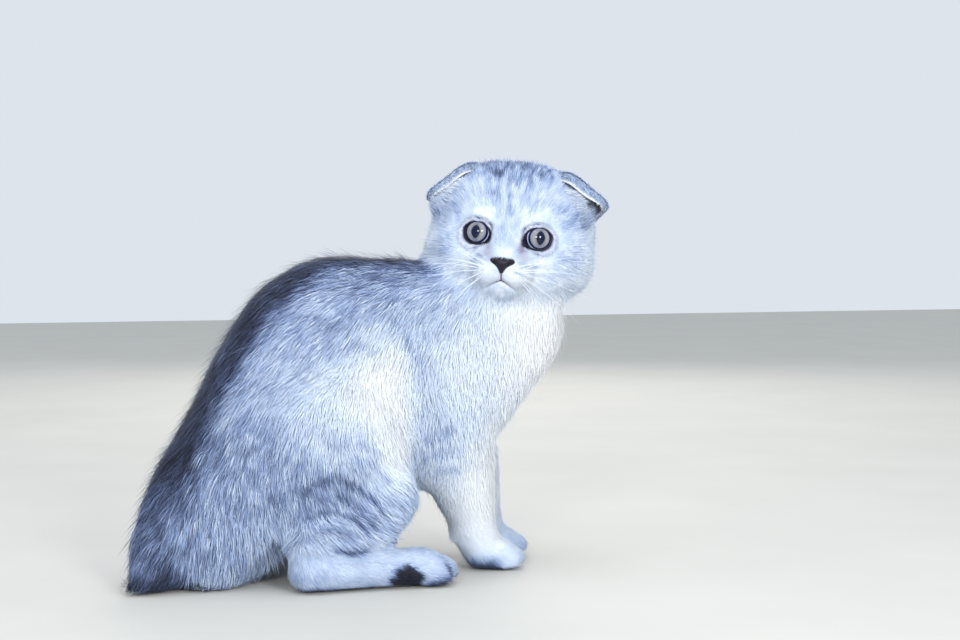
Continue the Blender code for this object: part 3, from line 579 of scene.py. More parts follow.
def coat_paint(points, outward, head, shift=0.0):
    """Colour of skin or hair at a place: head and body tones mixed by the share of the head."""
    spots = to_head(points)
    head = smooth(0.15, 0.85, head)
    tone = body_tone(points, outward) * (1 - head) + head_tone(spots) * head
    colour = coat_colour(tone + shift)
    tear, mouth, rim = stain_share(spots)
    for share, shade in ((tear, STAIN), (mouth, "#7d6a8c"), (rim, "#1a1730")):
        colour = tinted(colour, shade, share * head)
    return colour, tone


def add_colours(item, values, name="coat_colour"):
    """Store a linear colour at each vertex."""
    layer = item.data.color_attributes.new(name, "FLOAT_COLOR", "POINT")
    full = np.concatenate([np.clip(values, 0, 1), np.ones((len(values), 1))], axis=1)
    layer.data.foreach_set("color", full.astype(np.float32).ravel())


def add_node(tree, kind, links=(), **settings):
    """Add a shader node; settings name its properties or inputs, links are (input, socket)."""
    node = tree.nodes.new(kind)
    for key, value in settings.items():
        if hasattr(node, key):
            setattr(node, key, value)
        else:
            node.inputs[key.replace("_", " ")].default_value = value
    for key, socket in links:
        tree.links.new(socket, node.inputs[key])
    return node


def new_material(name, **settings):
    """A Principled material with its constant settings, and its node tree and shader."""
    made = bpy.data.materials.new(name)
    made.use_nodes = True
    tree = made.node_tree
    shader = tree.nodes["Principled BSDF"]
    for key, value in settings.items():
        shader.inputs[key.replace("_", " ")].default_value = value
    return made, tree, shader


def rough_paint(name, layer, size, depth, strength=0.5, detail=3.0, **settings):
    """A material of colours painted on the mesh, with bumps that have one grain size."""
    made, tree, shader = new_material(name, **settings)
    paint = add_node(tree, "ShaderNodeVertexColor", layer_name=layer)
    coords = add_node(tree, "ShaderNodeTexCoord")
    grain = add_node(tree, "ShaderNodeTexNoise", [("Vector", coords.outputs["Object"])],
                     Scale=1 / size, Detail=detail)
    bump = add_node(tree, "ShaderNodeBump", [("Height", grain.outputs["Fac"])], Strength=strength,
                    Distance=depth)
    tree.links.new(paint.outputs["Color"], shader.inputs["Base Color"])
    tree.links.new(bump.outputs["Normal"], shader.inputs["Normal"])
    return made


def mottled_paint(name, layer, size, detail, darkest, lightest, **settings):
    """A material of colours painted on the mesh, darker and lighter in soft clouds of one size."""
    made, tree, shader = new_material(name, **settings)
    paint = add_node(tree, "ShaderNodeVertexColor", layer_name=layer)
    coords = add_node(tree, "ShaderNodeTexCoord")
    cloud = add_node(tree, "ShaderNodeTexNoise", [("Vector", coords.outputs["Object"])],
                     Scale=1 / size, Detail=detail)
    level = add_node(tree, "ShaderNodeMapRange", [("Value", cloud.outputs["Fac"])], To_Min=darkest,
                     To_Max=lightest)
    product = add_node(tree, "ShaderNodeVectorMath", [(0, paint.outputs["Color"]),
                                                      (1, level.outputs["Result"])], operation="MULTIPLY")
    tree.links.new(product.outputs["Vector"], shader.inputs["Base Color"])
    return made


# Hide under the fur: dry and matt, with the grain of hair roots about half a millimetre apart
hide = rough_paint("hide_under_fur", "coat_colour", 0.5 * MM, 0.3 * MM, Roughness=0.85, IOR=1.4,
                   Specular_IOR_Level=0.25)
skin.data.materials.append(hide)
# The hide is painted a little darker than the hair that grows from it: painted shade under the coat
add_colours(skin, coat_paint(places, normals, head_share, 0.03)[0])
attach(skin, "root")
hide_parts(*COAT)

# The coat. Soft hair in fine tufts, all over the skin but the eyes, nose leather and pads. It
# lies back from the nose over the skull, down the neck and flanks, along the legs to the toes
# and down the tail. Each tuft is a thin three-sided blade of mesh that bends and tapers.
FLOW_SPREAD = 17 * MM

# Lie of the coat: x, distance from the midline, z, and the way the hair points there
FLOW = (
    (60, 20, 160, -1, 0.2, -0.3), (30, 10, 160, -1, 0.1, -0.05), (-5, 10, 162, -1, 0.1, 0.05),
    (-25, 10, 157, -1, 0.1, -0.2), (-50, 10, 136, -0.8, 0.1, -0.6), (-70, 8, 110, -0.55, 0.1, -0.85),
    (-90, 6, 75, -0.4, 0.1, -0.9), (-20, 26, 150, -0.9, 0.2, -0.4), (10, 32, 142, -0.85, 0.2, -0.5),
    (-44, 34, 123, -0.8, 0.1, -0.6), (-58, 36, 104, -0.65, 0.1, -0.75), (-66, 40, 84, -0.5, 0.1, -0.85),
    (-74, 41, 55, -0.2, 0.1, -0.95), (-82, 42, 17, 0.05, 0.25, -1), (-60, 44, 60, -0.15, 0.0, -1),
    (28, 36, 132, -0.3, 0.1, -0.95), (21, 40, 117, -0.35, 0.1, -0.95), (0, 42, 125, -0.7, 0.1, -0.75),
    (0, 45, 105, -0.4, 0.1, -0.9), (-25, 45, 110, -0.75, 0.1, -0.75), (24, 38, 95, 0.0, 0.0, -1),
    (-28, 56, 76, -0.25, 0.0, -0.95), (-8, 54, 84, 0.05, 0.0, -1), (12, 46, 86, 0.3, 0.0, -0.95),
    (15, 43, 68, 0.6, -0.1, -0.8), (12, 54, 48, 0.65, 0.0, -0.75), (-6, 58, 58, 0.35, 0.0, -0.95),
    (-28, 55, 52, 0.15, 0.0, -1), (-43, 48, 44, 0.1, 0.0, -1), (-20, 58, 36, 0.6, 0.0, -0.7),
    (-49, 52, 24, 0.1, 0.0, -1), (-32, 62, 12, 0.9, 0.0, -0.3), (-8, 62, 12, 1, 0.0, -0.15),
    (10, 60, 10, 1, 0.0, -0.15), (28, 56, 10, 1, 0.0, -0.3), (-46, 54, 8, 0.4, 0.0, -0.8),
    (5, 50, 20, 1, 0.0, -0.05), (38, 38, 65, -0.15, 0.0, -1), (53, 42, 80, 0.0, 0.0, -1),
    (50, 34, 40, 0.1, 0.0, -1), (60, 30, 22, 0.3, 0.0, -0.95), (76, 28, 8, 0.95, 0.1, -0.5),
    (64, 41, 116, 0.05, 0.0, -1), (85, 40, 110, 0.1, 0.0, -1), (98, 10, 130, 0.15, 0.0, -1),
    (95, 42, 145, -0.1, 0.1, -1), (80, 10, 80, 0.0, 0.0, -1), (-110, 20, 45, -0.3, 0.1, -0.95),
    (-116, 26, 25, -0.5, 0.1, -0.8), (-122, 30, 8, -0.85, 0.1, -0.4), (-95, 34, 15, -0.1, 0.3, -0.95),
    (-100, 36, 3, -0.35, 0.6, -0.4),
)


def coat_flow(points, outward, head):
    """Way the hair points: the rows of FLOW weighed by a bell curve of their distance, and on
    the head straight back from the nose, turned outwards round each eye."""
    rows = np.array(FLOW, float)
    mirrored = points * (1, 0, 1) + np.abs(points) * (0, 1, 0)
    total = np.zeros_like(points)
    for row in rows:
        gap = ((mirrored - row[:3] * MM) ** 2).sum(axis=1)
        share = np.exp(-gap / (2 * FLOW_SPREAD ** 2)) + 1e-9 / (gap + 1e-6)
        total += share[:, None] * unit(row[3:])
    total[:, 1] *= np.sign(points[:, 1])
    body = unit(total)
    spots = to_head(points)
    away = spots - np.array((37, 0, -9)) * MM
    away[:, 2] -= 0.25 * np.abs(spots[:, 1]) * smooth(6 * MM, -10 * MM, spots[:, 2])
    away = unit(away)
    for side in (1, -1):
        from_eye = spots - EYE_CENTRE * (1, side, 1)
        rim = smooth(4.0 * MM, 0.5 * MM, eye_gap(spots, side)) * (spots[:, 0] > 5 * MM)
        away = unit(away + 1.6 * rim[:, None] * unit(from_eye))
    share = smooth(0.3, 0.9, head)[:, None]
    way = unit(away) @ HEAD_AXES * share + body * (1 - share)
    return unit(laid_on(way, outward))


flow = near.eased(coat_flow(places, normals, head_share), 3)
flow = unit(laid_on(flow, normals))


def bend_along(way):
    """Curvature of the skin along the hair: change of the normal over the step to each
    neighbour, both measured along the hair and weighed by the step."""
    step = places[near.other] - places[near.source]
    turn = normals[near.other] - normals[near.source]
    lie = way[near.source]
    along = (step * lie).sum(axis=1)
    top = np.add.reduceat((turn * lie).sum(axis=1) * along, near.starts)
    return near.eased(top / (np.add.reduceat(along ** 2, near.starts) + 1e-12), 8)


def hair_growth(spots, head):
    """Share of the full length and of the full number of hairs: short and fine near the nose
    and eyes, none on the eyes, the nose leather and the parting of the lips."""
    muzzle_gap = np.linalg.norm(spots - np.array((42, 0, -14)) * MM, axis=1)
    length = 0.42 + 0.58 * smooth(4 * MM, 30 * MM, muzzle_gap)
    length += 0.5 * smooth(24 * MM, 40 * MM, np.abs(spots[:, 1])) * smooth(8 * MM, -8 * MM, spots[:, 2])
    number = 1.0 + 0.9 * (1 - smooth(8 * MM, 26 * MM, muzzle_gap))
    for side in (1, -1):
        gap = eye_gap(spots, side)
        length = length * (0.36 + 0.64 * smooth(1.2 * MM, 8 * MM, gap))
        number = number * np.where(gap < 1.0 * MM, 0, 1 + 0.8 * smooth(7 * MM, 1 * MM, gap))
    number = number * ((leather_gap(spots) > 0.3 * MM) | (spots[:, 0] < NOSE_TIP[0] - 9 * MM))
    lips, cleft = mouth_distance(spots)
    parted = (np.minimum(lips, cleft * 1.3) < 0.5 * MM) & (spots[:, 0] > 22 * MM)
    number = np.where(parted, 0, number)
    share = smooth(0.3, 0.8, head)
    return 1 + (length - 1) * share, 1 + (number - 1) * share


growth, crowd = hair_growth(to_head(places), head_share)
crowd = crowd * np.where((normals[:, 2] < -0.75) & (places[:, 2] < 2.5 * MM), 0.0, 1.0)
FIELDS = np.concatenate([
    normals, flow, (coat[:, 1] * MM * growth)[:, None], np.radians(coat[:, 2:4]),
    (coat[:, 4] * MM * (0.55 + 0.45 * growth))[:, None], bend_along(flow)[:, None],
    head_share[:, None],
], axis=1)

bpy.context.view_layer.objects.active = skin
skin.select_set(True)
skin.data.uv_layers.new(name="OFBake")
bpy.ops.object.mode_set(mode="EDIT")
bpy.ops.mesh.select_all(action="SELECT")
bpy.ops.uv.smart_project(angle_limit=1.15, island_margin=0.002, scale_to_bounds=True)
bpy.ops.object.mode_set(mode="OBJECT")
skin_faces = array_of(skin.data.loops, "vertex_index", 1, np.int32).reshape(-1, 3)
skin_map = array_of(skin.data.uv_layers["OFBake"].uv, "vector", 2).reshape(-1, 3, 2)


def scatter(weight, count):
    """Even random places on the skin: faces drawn by area times weight, with one draw in each
    equal share of the total, and a random place on each face."""
    corners = places[skin_faces]
    area = np.linalg.norm(np.cross(corners[:, 1] - corners[:, 0], corners[:, 2] - corners[:, 0]), axis=1)
    total = np.cumsum(area * weight[skin_faces].mean(axis=1))
    draw = (np.arange(count) + random.random(count)) / count * total[-1]
    face = np.searchsorted(total, draw).clip(0, len(total) - 1)
    a, b = random.random((2, count))
    a, b = np.where(a + b > 1, (1 - a, 1 - b), (a, b))
    share = np.stack([1 - a - b, a, b], axis=1)
    return face, share


def on_skin(values, face, share):
    """Values at the corners of faces, mixed by each place's shares."""
    return (values[skin_faces[face]] * share[:, :, None]).sum(axis=1)


# Corners of a bent tuft: three at the root, three at the bend, one at the tip. A short one
# leaves out the bend.
BENT_QUADS = np.array([(0, 1, 4, 3), (1, 2, 5, 4), (2, 0, 3, 5)])
BENT_TRIANGLES = np.array([(0, 2, 1), (3, 4, 6), (4, 5, 6), (5, 3, 6)])
BENT_PATCH = np.array([(-0.5, -0.5), (0.5, -0.5), (0, -0.3), (-0.5, 0.1), (0.5, 0.1), (0, 0.2), (0, 0.5)])
SHORT_TRIANGLES = np.array([(0, 2, 1), (0, 1, 3), (1, 2, 3), (2, 0, 3)])
SHORT_PATCH = np.array([(-0.5, -0.5), (0.5, -0.5), (0, -0.2), (0, 0.5)])
PATCH_SIZE = 0.003


def tuft_mesh(name, roots, outward, way, length, width, lift, droop, root_colour, tip_colour, spot,
              bent=True, round_share=0.45):
    """Tufts as one mesh. A bent blade rises from the root at the lift angle for the first 45% of
    its length and goes on at the droop angle; a short one runs straight to the same tip. Its
    section is a flat triangle, and it is shaded as a low round on the lie of the skin, or by
    its own faces when round_share is None."""
    count = len(roots)
    across = np.cross(outward, way)
    rise = np.cos(lift)[:, None] * way + np.sin(lift)[:, None] * outward
    fall = np.cos(droop)[:, None] * way + np.sin(droop)[:, None] * outward
    bend = roots + rise * length[:, None] * 0.45
    tips = bend + fall * length[:, None] * 0.55
    half = across * width[:, None] / 2
    ridge = outward * width[:, None] * 0.30
    lean = outward * 0.95 - way * 0.15
    turned = across * np.reshape(0.0 if round_share is None else round_share, (-1, 1))
    sides = [lean - turned, lean + turned, lean]
    rows = [roots - half, roots + half, roots + ridge]
    shades = list(sides)
    mix = [0.0, 0.0, 0.0]
    if bent:
        rows += [bend - half * 0.85, bend + half * 0.85, bend + ridge * 0.85]
        shades += sides
        mix += [0.6, 0.6, 0.6]
    rows.append(tips)
    shades.append(outward)
    mix = np.array(mix + [1.0])[None, :, None]
    points = np.stack(rows, axis=1)
    points[:, :, 2] = np.maximum(points[:, :, 2], 0.25 * MM)
    size = len(rows)
    first = np.arange(count)[:, None, None] * size
    faces = [BENT_QUADS, BENT_TRIANGLES] if bent else [SHORT_TRIANGLES]
    item = mesh_object(name, points.reshape(-1, 3),
                       [(part + first).reshape(-1, part.shape[1]) for part in faces])
    colours = root_colour[:, None] * (1 - mix) + tip_colour[:, None] * mix
    add_colours(item, colours.reshape(-1, 3))
    layer = item.data.uv_layers.new(name="OFBake")
    pattern = BENT_PATCH if bent else SHORT_PATCH
    patch = (spot[:, None] + pattern * PATCH_SIZE).reshape(-1, 2)
    corners = array_of(item.data.loops, "vertex_index", 1, np.int32).ravel()
    layer.uv.foreach_set("vector", patch[corners].astype(np.float32).ravel())
    if round_share is not None:
        item.data.normals_split_custom_set_from_vertices(unit(np.stack(shades, axis=1)).reshape(-1, 3))
    return item


# Kitten hair: fine and soft, with a dull silky gloss along it
silver_hair = mottled_paint("silver_tabby_hair", "coat_colour", 0.8 * MM, 2.0, 0.86, 1.1, Roughness=0.62,
                            IOR=1.45, Specular_IOR_Level=0.3, Sheen_Weight=0.12)


def coat_layer(name, weight, count, bent=True, longer=1.0, thinner=1.0, raised=0.0):
    """One combed layer of the coat: tufts drawn over the skin by weight."""
    face, share = scatter(weight, count)
    root = on_skin(places, face, share)
    values = on_skin(FIELDS, face, share)
    outward, way = unit(values[:, 0:3]), unit(values[:, 3:6])
    length, lift, droop, width, bend, head = values[:, 6:12].T
    spot = (skin_map[face] * share[:, :, None]).sum(axis=1)
    across = np.cross(outward, way)
    body = 1 - smooth(0.2, 0.8, head)
    shown = root + way * (length * 0.62)[:, None]
    _, tone = coat_paint(shown, outward, head)
    plain = (1 - smooth(0.02, 0.16, tone)) * body
    clump = noise(root, 5.5 * MM, 31) * (0.10 + 0.16 * body) + noise(root, 15 * MM, 32) * 0.12 * body
    turn = clump * (1 - 0.85 * plain) + random.normal(0, 0.12, count) * (0.6 + 0.4 * body)
    way = unit(way + across * turn[:, None])
    rise = noise(root, 6.5 * MM, 33) * (1 - 0.8 * plain)
    length = length * longer * random.uniform(0.72, 1.18, count)
    wild = (random.random(count) < 0.06 + 0.12 * smooth(0.45, 0.8, tone)) * random.uniform(0.2, 1, count)
    length = length * (1 + 0.30 * wild)
    lift = lift * (1 - 0.35 * plain) + raised + random.normal(0, 0.08, count) * (1 - 0.6 * plain)
    lift = lift + 0.10 * rise + 0.35 * wild
    droop = droop + raised * 0.8 + random.normal(0, 0.06, count) * (1 - 0.6 * plain)
    droop = droop + 0.06 * rise + 0.40 * wild
    droop = droop - np.clip(bend, -25, 40) * length * 0.75
    width = width * thinner * random.uniform(0.75, 1.25, count) * (1 - 0.3 * plain) * (1 - 0.4 * wild)
    tick = (0.03 + 0.34 * smooth(0.08, 0.5, tone)) * (1 - 0.4 * smooth(0.7, 1.0, tone))
    tick += (1 - body) * (0.07 + 0.07 * smooth(0.0, 0.12, tone))
    tick = tick * (0.28 * random.normal(0, 1, count) + 0.5 * noise(root, 3.0 * MM, 34))
    # Root colour: lighter under dark coat, as silver hair is white at the root, and darker on the head and
    # mid-toned coat, which is painted shade among the hair
    under = 0.03 * (1 - plain) + 0.05 * (1 - body) - 0.10 * smooth(0.2, 0.6, tone)
    root_colour, _ = coat_paint(shown, outward, head, tick * 0.4 + under)
    shown += way * (length * 0.22)[:, None]
    tip_colour, _ = coat_paint(shown, outward, head, tick)
    root = root - outward * (0.12 * MM)
    layer = tuft_mesh(name, root, outward, way, length, width, lift, droop, root_colour, tip_colour,
                      spot, bent, 0.45 - 0.4 * plain)
    layer.data.materials.append(silver_hair)
    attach(layer, "root")


fine = np.clip(near.eased(np.isin(part, fine_parts).astype(float), 4), 0, 1)
weight = coat[:, 5] * crowd
BODY_TUFTS, SHORT_TUFTS, UNDER_TUFTS = 18700, 46000, 24000
for k in range(5):
    coat_layer(f"body_coat_{k + 1}", weight * (1 - fine), BODY_TUFTS)
for k in range(2):
    coat_layer(f"short_coat_{k + 1}", weight * fine, SHORT_TUFTS, bent=False)
coat_layer("under_coat", weight * (1 - fine), UNDER_TUFTS, bent=False, longer=0.8, thinner=1.3, raised=-0.1)

# Eyes. Wet round eyeballs with the clear front standing a little proud: a grey-hazel iris with
# fine spokes, a navy ring at its rim, an upright oval pupil and the pale inner corner.
IRIS_ANGLE = math.radians(33.5)
RING_ANGLE = math.radians(41.5)
PUPIL_HALF = np.array((2.35, 3.7)) * MM
GAZE_OUT = math.radians(2.5)
GAZE_LEFT = math.radians(3.0)
GAZE_UP = math.radians(5.0)
CORNEA_RISE = 1.1 * MM
CORNEA_SPAN = math.radians(46)
EYE_RINGS = 72
EYE_SPOKES = 120

# Wet eye: clear horn over a coloured disc, under a film of tears that shows lights as sharp points
wet_eye, tree, shader = new_material("wet_eye", Roughness=0.12, IOR=1.376, Specular_IOR_Level=0.1,
                                     Coat_Weight=1.0, Coat_Roughness=0.02, Coat_IOR=1.336)
paint = add_node(tree, "ShaderNodeVertexColor", layer_name="eye_colour")
tree.links.new(paint.outputs["Color"], shader.inputs["Base Color"])


def ball_grid(polar, spokes):
    """Angles off the axis and round it of the rings of a ball and its two poles, and its faces:
    quads between the rings and a fan at each pole."""
    clock = np.linspace(0, math.tau, spokes, endpoint=False)
    angle, turn = np.meshgrid(polar, clock, indexing="ij")
    number = np.arange(angle.size).reshape(angle.shape)
    after = np.roll(number, -1, axis=1)
    quads = np.stack([number[:-1], number[1:], after[1:], after[:-1]], axis=-1).reshape(-1, 4)
    near_pole = np.stack([np.full(spokes, angle.size), number[0], after[0]], axis=-1)
    far_pole = np.stack([number[-1], np.full(spokes, angle.size + 1), after[-1]], axis=-1)
    return (np.append(angle, (0, math.pi)), np.append(turn, (0, 0)),
            [quads, np.concatenate([near_pole, far_pole])])


def eyeball(side):
    """Rings about the line of sight: a ball whose front bulges by a parabola of the angle."""
    polar = np.concatenate([np.linspace(0.0, 1.1, EYE_RINGS - 14)[1:], np.linspace(1.1, math.pi, 15)[1:-1]])
    angle, turn, faces = ball_grid(polar, EYE_SPOKES)
    bulge = np.clip(1 - (angle / CORNEA_SPAN) ** 2, 0, None)
    reach = EYE_RADIUS + CORNEA_RISE * bulge
    flat = np.stack([np.sin(angle) * np.cos(turn), np.sin(angle) * np.sin(turn), np.cos(angle)], -1)
    out = GAZE_OUT * side + GAZE_LEFT
    swing = np.array(((math.cos(out), 0, math.sin(out)), (0, 1, 0), (-math.sin(out), 0, math.cos(out))))
    rise = np.array(((1, 0, 0), (0, math.cos(GAZE_UP), math.sin(GAZE_UP)),
                     (0, -math.sin(GAZE_UP), math.cos(GAZE_UP))))
    spots = flat * reach[:, None] @ (swing @ rise).T
    ball = mesh_object("left_eyeball" if side > 0 else "right_eyeball",
                       from_head(spots @ eye_axes(side) + EYE_CENTRE * (1, side, 1)), faces)
    across, up = (flat * reach[:, None])[:, :2].T
    spoke = np.stack([np.cos(turn) * 6, np.sin(turn) * 6, angle * 1.2], axis=1)
    fibre = noise(spoke, 0.30, 51 + side) * 0.6 + noise(spoke, 0.7, 53 + side) * 0.5
    share = angle / IRIS_ANGLE
    iris = np.array([linear("#85858f")]) * (1 + 0.34 * fibre)[:, None]
    iris = tinted(iris, "#94947f", bell((share - 0.50) / 0.22) * 0.6)
    iris = tinted(iris, "#7c7f96", smooth(0.66, 0.95, share) * 0.6)
    colour = tinted(iris, "#101636", smooth(0.93, 1.04, share))
    white = smooth(RING_ANGLE, RING_ANGLE + 0.03, angle) * smooth(0.0, -0.4, np.cos(turn) * side)
    colour = tinted(colour, "#b4c2e0", white)
    colour = tinted(colour, "#171b3e", smooth(0.79, 0.83, angle))
    pupil = (np.abs(across / PUPIL_HALF[0]) ** 1.6 + np.abs(up / PUPIL_HALF[1]) ** 1.6) ** 0.625
    colour = tinted(colour, "#3a4560", bell((pupil - 1.15) / 0.16) * 0.5)
    add_colours(ball, tinted(colour, "#050f30", smooth(1.08, 0.92, pupil)), "eye_colour")
    return ball


for side, name in ((1, "left"), (-1, "right")):
    ball = eyeball(side)
    ball.data.materials.append(wet_eye)
    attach(ball, "root")
    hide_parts(name + "_eye")

# Lids. Folds of the same skin that lie on the eyeball. Their bare edge is dark and moist and is
# drawn to a point at the inner corner, where tears gather, and a little at the outer one.
# Each row: step from the edge, share of the rise from the ball to the skin, and a height more
LID_PROFILE = ((-0.45, 0, -0.5), (-0.38, 0, 0.10), (-0.18, 0, 0.40), (0.05, 0, 0.56), (0.3, 0.1, 0.60),
               (0.55, 0.4, 0.45), (0.8, 0.75, 0.25), (1.05, 1, 0.12), (1.4, 1, 0.10), (1.9, 1, 0.02),
               (2.5, 1, -0.2), (3.2, 1, -0.9), (3.6, 0, -0.6))
LID_DARK_TO = 0.45 * MM
LID_STEPS = 144
skin_tree = BVHTree.FromPolygons(places.tolist(), triangles.tolist())

# Bare lid skin: hairless, dark and moist, with a faint soft shine
lid_skin = rough_paint("moist_lid_skin", "lid_colour", 0.35 * MM, 0.1 * MM, 0.35, Roughness=0.5, IOR=1.4,
                       Specular_IOR_Level=0.3)


def lids(side):
    """A closed band round the opening: each row of the profile is a step along the ball away
    from the edge and a height above it that climbs to the skin around, and the last row joins
    the first behind."""
    clock = np.linspace(0, math.tau, LID_STEPS, endpoint=False)
    edge = lid_opening(clock, side)
    rows = np.array(LID_PROFILE)
    angle = edge[None] + np.append(rows[:, :1] * MM, [[1.5 * MM]], axis=0) / EYE_RADIUS
    flat = np.stack([np.sin(angle) * np.cos(clock), np.sin(angle) * np.sin(clock), np.cos(angle)], -1)
    centre = Vector(from_head(EYE_CENTRE * (1, side, 1)))
    found = [skin_tree.ray_cast(centre, Vector(way))[3] for way in flat[-1] @ eye_axes(side) @ HEAD_AXES]
    rise = np.clip(np.array([gap or EYE_RADIUS for gap in found]) - EYE_RADIUS, 0.45 * MM, 4.5 * MM)
    rise = np.mean([np.roll(rise, step) for step in range(-3, 4)], axis=0)
    flat, reach = flat[:-1], EYE_RADIUS + rise * rows[:, 1:2] + rows[:, 2:] * MM
    spots = (flat * reach[..., None]).reshape(-1, 3) @ eye_axes(side) + EYE_CENTRE * (1, side, 1)
    number = np.arange(len(rows) * LID_STEPS).reshape(len(rows), LID_STEPS)
    next_row, after = np.roll(number, -1, axis=0), np.roll(number, -1, axis=1)
    faces = np.stack([number, next_row, np.roll(after, -1, axis=0), after], axis=-1).reshape(-1, 4)
    band = mesh_object("left_lids" if side > 0 else "right_lids", from_head(spots), faces)
    far = np.repeat(rows[:, 0], LID_STEPS) * MM
    inner = smooth(0.3, 0.9, np.cos(clock - side * 0.5) * -side) * 0.28 * MM
    outer = smooth(0.8, 1.0, np.cos(clock - side * 0.5) * side) * 0.12 * MM
    dark_to = np.tile(LID_DARK_TO + inner + outer, len(rows))
    dark = smooth(dark_to + 0.25 * MM, dark_to - 0.10 * MM, far)
    fur, _ = coat_paint(from_head(spots), np.tile(FORWARD, (len(spots), 1)), np.ones(len(spots)), 0.04)
    add_colours(band, tinted(fur, "#0e0c1e", dark), "lid_colour")
    return band, spots.reshape(len(rows), LID_STEPS, 3)


def lid_hair(net, side, count=2400):
    """Short hair combed away from the eye on the outer rows of the band."""
    row, step = random.uniform(5.0, 10.7, count), random.random(count) * LID_STEPS
    r, k = row.astype(int), step.astype(int)
    after = (k + 1) % LID_STEPS
    t, u = (row - r)[:, None], (step - k)[:, None]
    low, high = (net[r, c] * (1 - t) + net[r + 1, c] * t for c in (k, after))
    root = from_head(low * (1 - u) + high * u)
    way = unit(net[r + 1, k] - net[r, k])
    outward = np.cross(unit(high - low), way)
    seen = ((net[r, k] - EYE_CENTRE * (1, side, 1)) * outward).sum(axis=1)
    outward = unit(outward * np.sign(seen)[:, None]) @ HEAD_AXES
    shade = 0.05 * random.normal(size=count)
    colour, _ = coat_paint(root, outward, np.ones(count), shade + 0.02)
    return tuft_mesh("left_lid_hair" if side > 0 else "right_lid_hair", root, outward, way @ HEAD_AXES,
                     random.uniform(1.4, 2.7, count) * MM, random.uniform(0.20, 0.30, count) * MM,
                     np.radians(random.normal(16, 5, count)), np.radians(random.normal(4, 4, count)),
                     colour, colour, np.stack([0.02 + 0.96 * step / LID_STEPS, 0.02 + 0.08 * row], axis=1),
                     bent=False)


for side in (1, -1):
    band, net = lids(side)
    band.data.materials.append(lid_skin)
    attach(band, "root")
    hair = lid_hair(net, side)
    hair.data.materials.append(silver_hair)
    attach(hair, "root")

# Nose leather. A bare, finely pebbled pad, dark brown-black and a little moist: wide above,
# narrowed to the cleft of the lip below, with a comma-shaped nostril on each side.
NOSE_BACK = -4.6 * MM
NOSE_READS = 401

# Nose leather: horny skin in fine pebbles, a little moist, with a broad dull shine
leather, tree, shader = new_material("nose_leather", Roughness=0.5, IOR=1.42, Specular_IOR_Level=0.35,
                                     Coat_Weight=0.08, Coat_Roughness=0.35)
coords = add_node(tree, "ShaderNodeTexCoord")
pebble = add_node(tree, "ShaderNodeTexVoronoi", [("Vector", coords.outputs["Object"])],
                  Scale=1 / (0.55 * MM))
tint = add_node(tree, "ShaderNodeValToRGB", [("Fac", pebble.outputs["Distance"])])
for end, shade in zip(tint.color_ramp.elements, ("#251830", "#100a17")):
    end.color = (*linear(shade), 1)
# The leather's colour is multiplied by painted shade in the nostril dents
paint = add_node(tree, "ShaderNodeVertexColor", layer_name="nostril_painted_shade")
shaded = add_node(tree, "ShaderNodeVectorMath", [(0, tint.outputs["Color"]), (1, paint.outputs["Color"])],
                  operation="MULTIPLY")
bump = add_node(tree, "ShaderNodeBump", [("Height", pebble.outputs["Distance"])], Strength=0.5,
                Distance=0.12 * MM, invert=True)
tree.links.new(shaded.outputs["Vector"], shader.inputs["Base Color"])
tree.links.new(bump.outputs["Normal"], shader.inputs["Normal"])


def through(rows, count):
    """Catmull-Rom curve through rows of numbers, read at even steps."""
    rows = np.asarray(rows, float)
    padded = np.vstack([2 * rows[0] - rows[1], rows, 2 * rows[-1] - rows[-2]])
    spots = np.linspace(0, len(rows) - 1, count)
    start = np.minimum(spots.astype(int), len(rows) - 2)
    t = (spots - start)[:, None]
    a, b, c, d = (padded[start + k] for k in range(4))
    return 0.5 * (2 * b + (c - a) * t + (2 * a - 5 * b + 4 * c - d) * t ** 2
                  + (3 * b - a - 3 * c + d) * t ** 3)


def nose_pad(rings=60, spokes=96):
    """Rings from the top down. Each is an ellipse as wide and as far forward as the table says,
    read along a smooth curve, less a slanting dent for each nostril and a crease below."""
    share, turn, faces = ball_grid(np.linspace(0, math.pi, rings)[1:-1], spokes)
    height, half, front = (through(NOSE_SECTIONS, NOSE_READS) * MM).T
    at = (1 - np.cos(share)) / 2 * (NOSE_READS - 1)
    height, half, front = (np.interp(at, np.arange(NOSE_READS), row) for row in (height, half, front))
    half = np.maximum(half, 0)
    spots = np.stack([NOSE_BACK + (front - NOSE_BACK) * np.cos(turn), half * np.sin(turn), height], axis=1)
    ends = half < 1e-6
    spots[ends, 0] = front[ends]
    dent = np.zeros(len(spots))
    for side in (1, -1):
        off_l = (spots[:, 1] * side - 3.7 * MM) / MM
        off_u = (spots[:, 2] - 0.3 * MM) / MM
        slant = math.radians(32)
        long = off_l * math.cos(slant) + off_u * math.sin(slant)
        deep = -off_l * math.sin(slant) + off_u * math.cos(slant)
        hole = np.exp(-((long / 1.35) ** 4 + ((deep + 0.12 * long ** 2) / 0.60) ** 2)) * (np.cos(turn) > 0.1)
        spots[:, 0] -= 1.4 * MM * hole
        dent += hole
    crease = bell(spots[:, 1] / (0.28 * MM)) * smooth(0.6 * MM, -1.2 * MM, spots[:, 2])
    spots[:, 0] -= 0.4 * MM * crease * (np.cos(turn) > 0)
    pad = mesh_object("nose_pad", from_head(spots + NOSE_TIP), [part[:, ::-1] for part in faces])
    # Painted shade: the nostril dents are painted nearly black, as shade falls in them
    lit = 1 - 0.95 * np.clip(dent * 1.3, 0, 1)
    add_colours(pad, np.repeat(lit[:, None], 3, axis=1), "nostril_painted_shade")
    return pad


nose = nose_pad()
nose.data.materials.append(leather)
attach(nose, "root")
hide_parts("nose")

# Lips. The bare edge of both lips shows as a fine mauve line that drops to each side of the
# cleft, which runs up to the nose. It lies sunk in the parting of the fur.
def on_face(left, up):
    """How far forward the skin stands at a place seen from in front, in the head's axes."""
    start = Vector(from_head(np.array((0.09, left, up))))
    hit = skin_tree.ray_cast(start, Vector(-FORWARD))[0]
    return to_head(np.array(hit))[0] if hit else 0.0


